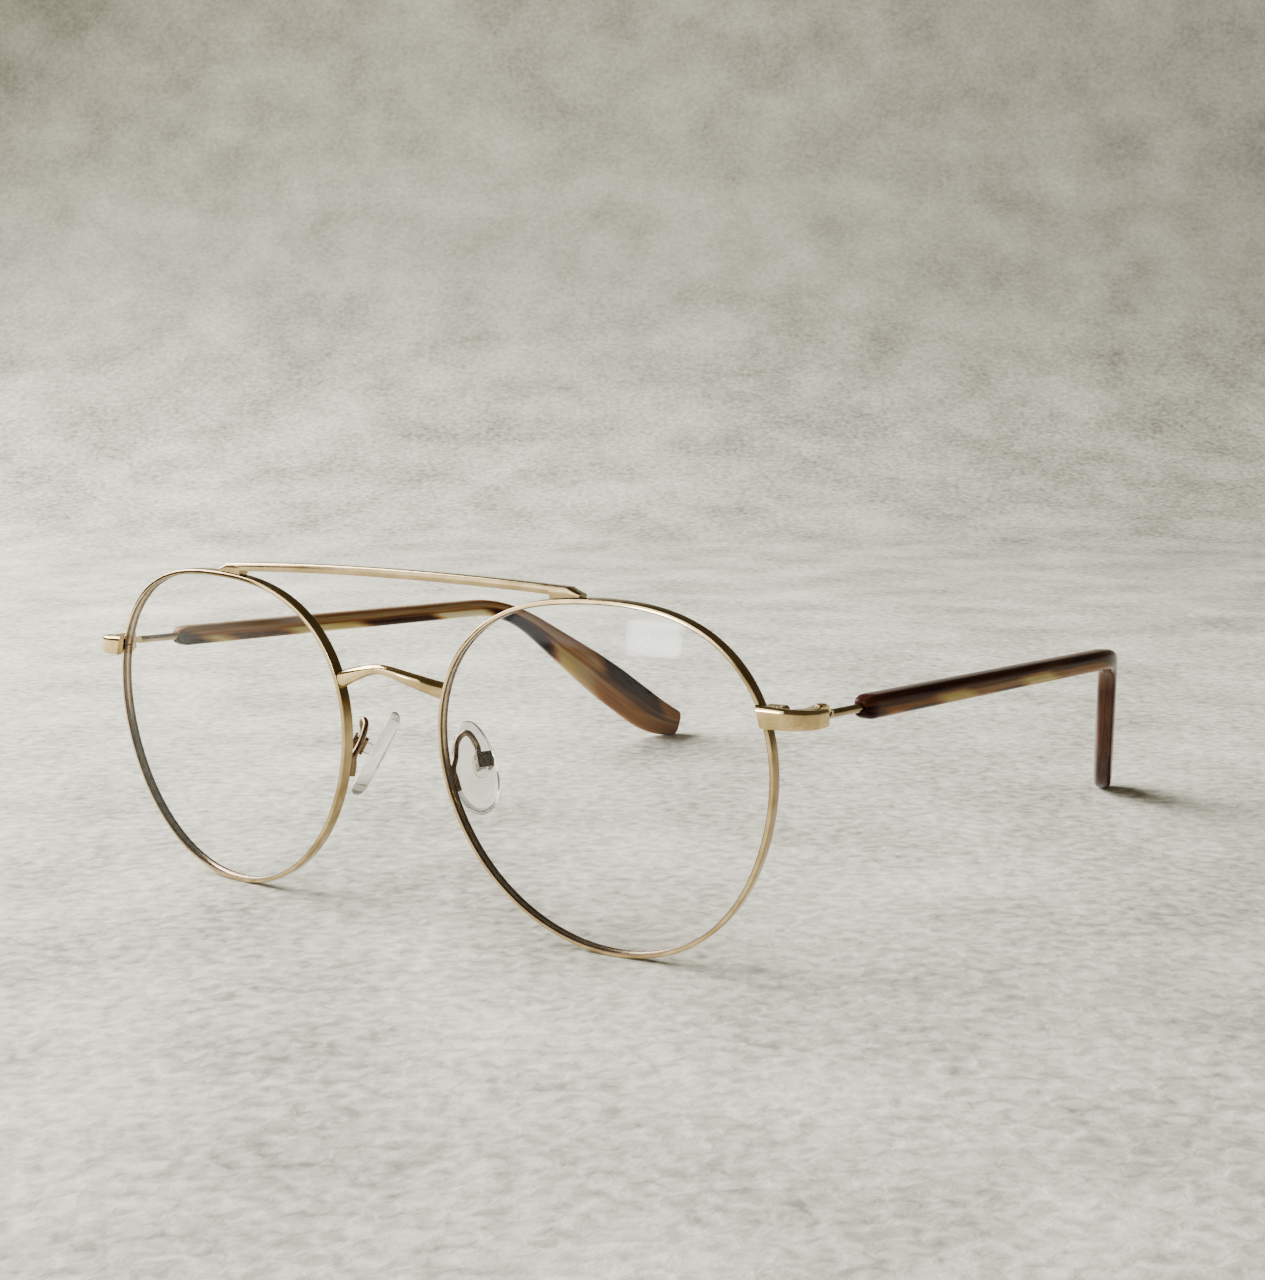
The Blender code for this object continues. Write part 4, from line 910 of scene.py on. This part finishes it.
def spline(knots, steps):
    """Cubic curve through knots whose slope at each knot runs along its neighbours."""
    knots = np.array(knots)
    slope = np.gradient(knots, axis=0)
    t = np.linspace(0.0, 1.0, steps, endpoint=False)[None, :, None]
    start, stop = knots[:-1, None], knots[1:, None]
    leave, arrive = slope[:-1, None], slope[1:, None]
    curve = ((2 * t ** 3 - 3 * t ** 2 + 1) * start + (t ** 3 - 2 * t ** 2 + t) * leave
             + (3 * t ** 2 - 2 * t ** 3) * stop + (t ** 3 - t ** 2) * arrive)
    return np.vstack([curve.reshape(-1, 3), knots[-1:]])


def wire_rings(path, radius):
    """Circles across a path, each turned from the path's own direction and the X axis."""
    along = along_unit(path)
    first = np.cross(along, (1.0, 0.0, 0.0))
    first /= np.linalg.norm(first, axis=1, keepdims=True)
    second = np.cross(along, first)
    turn = np.arange(WIRE_SIDES)[None, :, None] * 2.0 * math.pi / WIRE_SIDES
    ring = np.cos(turn) * first[:, None] + np.sin(turn) * second[:, None]
    return path[:, None] + np.reshape(radius, (-1, 1, 1)) * ring


arm_back = -0.5 * RIM_DEPTH - PAD_FOOT_RADIUS
arm_foot = [rim_point(math.radians(angle), PAD_FOOT_OUT, arm_back) for angle in PAD_FOOT_ANGLES]
arm_end = PAD_AXIS + PAD_ARM_OUT * PAD_OUT + PAD_ARM_SIDE * PAD_WIDE - PAD_BOX_HALF_LENGTH * PAD_LONG
arm_path = spline([*arm_foot, *PAD_ARM_LOOP, arm_end - PAD_LONG, arm_end], PAD_ARM_STEPS)
thinner = smooth_step(np.arange(len(arm_path)), PAD_ARM_STEPS, 3 * PAD_ARM_STEPS)
arm_radius = PAD_FOOT_RADIUS + (PAD_ARM_RADIUS - PAD_FOOT_RADIUS) * thinner
pad_reach = PAD_BOX_HALF_WIDTH
pad_seat = pad_reach + PAD_HEAD_PLAY
pad_face = pad_reach + PAD_CROWN[-1][0]
pad_profile = [(-pad_reach, PAD_POINT_RADIUS), (-pad_reach + PAD_POINT_LENGTH, PAD_SHANK),
               (pad_seat, PAD_SHANK), (pad_seat, PAD_HEAD),
               *((pad_reach + rise, radius) for rise, radius in PAD_CROWN)]
for side, sign in SIDES:
    arm = skin(f"bent_pad_arm_{side}", wire_rings(arm_path, arm_radius), sign)
    # Painted shade: the pad arms and boxes are darkened most of the way to the painted brown, for the dark
    # reflections they show
    add_painted_shade(arm, PAD_ARM_PAINTED_SHADE)
    fit(arm, f"pad_arm_{side}", "front", GOLD)
    box = dressed(f"folded_pad_box_{side}", f"pad_box_{side}", PAD_BOX_EDGE)
    add_painted_shade(box, PAD_ARM_PAINTED_SHADE)
    fit(box, f"pad_box_{side}", "front", GOLD)
    screw = slotted_screw(f"pad_pin_{side}", pad_profile, PAD_AXIS, PAD_WIDE, pad_face, sign)
    fit(screw, f"pad_screw_{side}", "front", GOLD)


# Nose pads and their inserts
# Each pad is a clear silicone oval, flat outside and domed towards the nose, broader at its lower end.
# A small plate with a lug is moulded into it, and the lug hangs on the box's screw.
PAD_HALF_LENGTH = 7.1
PAD_HALF_WIDTH = 3.35
PAD_HALF_THICK = 1.1
PAD_BROADER = 0.14
PAD_SIDES = 72
# Rings over the pad's thickness from its outer side to the nose: share of the outline and level
PAD_EDGE = ((0.05, 1.0), (0.5, 1.0), (0.86, 1.0), (0.92, 0.95), (0.96, 0.84), (0.985, 0.64),
            (1.0, 0.38), (1.0, 0.12), (0.985, -0.14), (0.955, -0.36), (0.92, -0.58), (0.85, -0.76),
            (0.76, -0.88), (0.62, -0.96), (0.48, -1.0), (0.25, -1.0), (0.05, -1.0))
PAD_TINT = (0.97, 0.97, 0.95, 1.0)
PAD_INDEX = 1.42
PAD_CLEARNESS = 0.93
PAD_CLOUD = {"Scale": 420.0, "Detail": 2.0}
PAD_ROUGHNESS = 0.04
PAD_CLOUD_ROUGHNESS = 0.12
INSERT_EDGE = 0.08


def pad_rings():
    """Ovals broader at one end, stacked over the thickness with shares read off a rounded edge curve."""
    angle = np.arange(PAD_SIDES) * 2.0 * math.pi / PAD_SIDES
    long = PAD_HALF_LENGTH * np.cos(angle)
    wide = PAD_HALF_WIDTH * np.sin(angle) * (1.0 + PAD_BROADER * np.cos(angle))
    share, level = np.transpose(PAD_EDGE)
    flat = long[:, None] * PAD_LONG + wide[:, None] * PAD_WIDE
    return (PAD_CENTRE + share[:, None, None] * flat[None]
            + (level * PAD_HALF_THICK)[:, None, None] * PAD_OUT)


def clear_silicone():
    """Clear soft pad: it bends light, and a faint cloudy noise dulls it here and there."""
    finish, shader, tone = surface("clear_silicone")
    place = tone.node("ShaderNodeTexCoord", output="Object")
    cloud = tone.node("ShaderNodeTexNoise", None, {"Vector": place, **PAD_CLOUD})
    (PAD_ROUGHNESS + PAD_CLOUD_ROUGHNESS * cloud).feed(shader, "Roughness")
    shader.inputs["Base Color"].default_value = PAD_TINT
    shader.inputs["Transmission Weight"].default_value = PAD_CLEARNESS
    shader.inputs["IOR"].default_value = PAD_INDEX
    return finish


SILICONE = clear_silicone()
for side, sign in SIDES:
    pad = skin(f"clear_nose_pad_{side}", pad_rings(), sign)
    fit(pad, f"nose_pad_{side}", f"pad_{side}", SILICONE)
    insert = dressed(f"set_pad_insert_{side}", f"pad_insert_{side}", INSERT_EDGE)
    fit(insert, f"pad_insert_{side}", f"pad_{side}", SILICONE)


# Camera
# The camera stands a little to the glasses' left and just above them, and looks at them slightly
# downwards.  Its place is in metres, in the frame of the model.
CAMERA_PLACE = Vector((0.18753, -0.28153, 0.0792))
CAMERA_RIGHT = Vector((0.8209, 0.5711, -0.0044))
CAMERA_UP = Vector((-0.0734, 0.1132, 0.9909))
CAMERA_LENS = 55.24
CAMERA_SENSOR = 36.0
CAMERA_CLIP = 0.01

camera_back = CAMERA_RIGHT.cross(CAMERA_UP).normalized()
camera_right = CAMERA_UP.cross(camera_back).normalized()
camera_up = camera_back.cross(camera_right)
camera_turn = Matrix((camera_right, camera_up, camera_back)).transposed().to_4x4()
camera_data = bpy.data.cameras.new("photo_view")
camera_data.lens = CAMERA_LENS
camera_data.sensor_width = CAMERA_SENSOR
camera_data.clip_start = CAMERA_CLIP
camera = bpy.data.objects.new("photo_view", camera_data)
camera.matrix_world = Matrix.Translation(CAMERA_PLACE) @ camera_turn
bpy.context.scene.collection.objects.link(camera)
bpy.context.scene.camera = camera


# Paper sweep
# The glasses stand on pale fibrous handmade paper.  It lies flat under them and curves up behind them,
# square to the camera's view.
SWEEP_NEAR = -3.0
SWEEP_BEHIND = 0.52
SWEEP_BEND = 0.42
SWEEP_WIDE = 3.0
SWEEP_HIGH = 0.44
SWEEP_BEND_STEPS = 24
SWEEP_CREASE = 60.0
PAPER_STOPS = [(0.0, (0.27, 0.258, 0.20)), (1.0, (0.965, 0.94, 0.765))]
PAPER_CLOUD = {"Scale": 26.0, "Detail": 6.0, "Roughness": 0.6}
PAPER_CLOUD_SHARE = 0.9
PAPER_NEAR_CLOUD_SHARE = 0.6
FIBRE_SCALE = (380.0, 420.0, 420.0)
FIBRE_NOISE = {"Scale": 1.0, "Detail": 4.0, "Distortion": 0.4}
FIBRE_SHARE = 0.6
PAPER_SHADE = 0.33
PAPER_FLOOR_PAINTED_LIGHT = 0.17
PAPER_NEAR_HEIGHT = 0.16
PAPER_RELIEF = {"Strength": 0.35, "Distance": 0.0006}
PAPER_ROUGHNESS = 0.85
AHEAD = np.array([-camera_back.x, -camera_back.y]) / math.hypot(camera_back.x, camera_back.y)
ASIDE = np.array([AHEAD[1], -AHEAD[0]])


def sweep_sheet():
    """Paper: flat, then a quarter circle, then upright, the same across its whole width."""
    quarter = np.linspace(0.0, 0.5 * math.pi, SWEEP_BEND_STEPS)
    bend = SWEEP_BEHIND + SWEEP_BEND * np.sin(quarter)
    ahead = np.concatenate([[SWEEP_NEAR, 0.0], bend, [SWEEP_BEHIND + SWEEP_BEND]])
    height = np.concatenate([[0.0, 0.0], SWEEP_BEND * (1.0 - np.cos(quarter)), [SWEEP_HIGH]])
    aside = np.array([-SWEEP_WIDE, SWEEP_WIDE])
    plan = ahead[:, None, None] * AHEAD + aside[None, :, None] * ASIDE
    points = np.concatenate([plan, np.broadcast_to(height[:, None, None], (len(height), 2, 1))], -1)
    index = np.arange(points.size // 3).reshape(-1, 2)
    quads = np.stack([index[:-1, 0], index[:-1, 1], index[1:, 1], index[1:, 0]], -1)
    mesh = bpy.data.meshes.new("paper_sweep")
    mesh.from_pydata(points.reshape(-1, 3), [], quads.tolist())
    return add_object("paper_sweep", mesh, SWEEP_CREASE)


def fibre_paper():
    """Handmade paper: broad clouds and short fibres that run across the sheet, with a faint relief.  On the
    floor both are stronger, partly as painted shading of the relief under low light, and the sheet is
    painted lighter there than on the upright part, for the light that falls off up the sweep."""
    finish, shader, tone = surface("fibre_paper")
    place = tone.node("ShaderNodeTexCoord", output="Object")
    turn = (0.0, 0.0, -math.atan2(ASIDE[1], ASIDE[0]))
    sheet = tone.node("ShaderNodeMapping", None, {"Vector": place, "Rotation": turn})
    drawn = tone.node("ShaderNodeVectorMath", {"operation": "MULTIPLY"}, {0: sheet, 1: FIBRE_SCALE})
    cloud = tone.node("ShaderNodeTexNoise", None, {"Vector": place, **PAPER_CLOUD})
    fibre = tone.node("ShaderNodeTexNoise", None, {"Vector": drawn, **FIBRE_NOISE})
    height = tone.node("ShaderNodeSeparateXYZ", None, {"Vector": place}, output="Z")
    near = tone.node("ShaderNodeMapRange", {"interpolation_type": "SMOOTHSTEP"},
                     {"Value": height, "From Min": PAPER_NEAR_HEIGHT, "From Max": 0.0})
    # Painted light: the floor is made lighter than the upright part for the fall-off of the window's light,
    # and its grain stronger partly as painted relief shading
    shade = (PAPER_SHADE + PAPER_FLOOR_PAINTED_LIGHT * near
             + (PAPER_CLOUD_SHARE + PAPER_NEAR_CLOUD_SHARE * near) * (cloud - 0.5)
             + (FIBRE_SHARE + near) * (fibre - 0.5))
    colour = tone.node("ShaderNodeValToRGB", {"stops": PAPER_STOPS}, {"Fac": shade})
    relief = tone.node("ShaderNodeBump", None, {**PAPER_RELIEF, "Height": shade})
    colour.feed(shader, "Base Color")
    relief.feed(shader, "Normal")
    shader.inputs["Roughness"].default_value = PAPER_ROUGHNESS
    return finish


sweep = sweep_sheet()
sweep.data.materials.append(fibre_paper())


# Light
# A broad soft window lights the glasses from the picture's left, and a low card on the same side lifts the
# shadows.  The small far window is the one that the near lens mirrors, and a warm air fills the rest.
GLASSES_MIDDLE = Vector((0.0, 0.0, 0.0))
WINDOW_SPREAD = math.radians(140.0)
AIR_COLOUR = (0.95, 0.80, 0.50, 1.0)
AIR_STRENGTH = 0.11


def add_window(name, place, size, watts):
    """Rectangular soft light, turned to the glasses.  Its place is aside, ahead and above, in metres from
    the glasses' middle as the camera faces."""
    aside, ahead, height = place
    data = bpy.data.lights.new(name, "AREA")
    data.shape = "RECTANGLE"
    data.size, data.size_y = size
    data.energy = watts
    data.spread = WINDOW_SPREAD
    lamp = bpy.data.objects.new(name, data)
    lamp.location = (*(aside * ASIDE + ahead * AHEAD), height)
    lamp.rotation_mode = "QUATERNION"
    lamp.rotation_quaternion = (GLASSES_MIDDLE - lamp.location).to_track_quat("-Z", "Y")
    bpy.context.scene.collection.objects.link(lamp)


add_window("left_window", place=(-0.72, 0.27, 0.50), size=(0.85, 0.7), watts=22.5)
add_window("front_card", place=(-0.95, -0.62, 0.22), size=(0.9, 0.44), watts=2.5)
add_window("far_window", place=(-0.905, -0.79, 0.045), size=(0.17, 0.10), watts=1.1)
world = bpy.data.worlds.new("studio")
world.use_nodes = True
air = world.node_tree.nodes["Background"]
air.inputs["Color"].default_value = AIR_COLOUR
air.inputs["Strength"].default_value = AIR_STRENGTH
bpy.context.scene.world = world
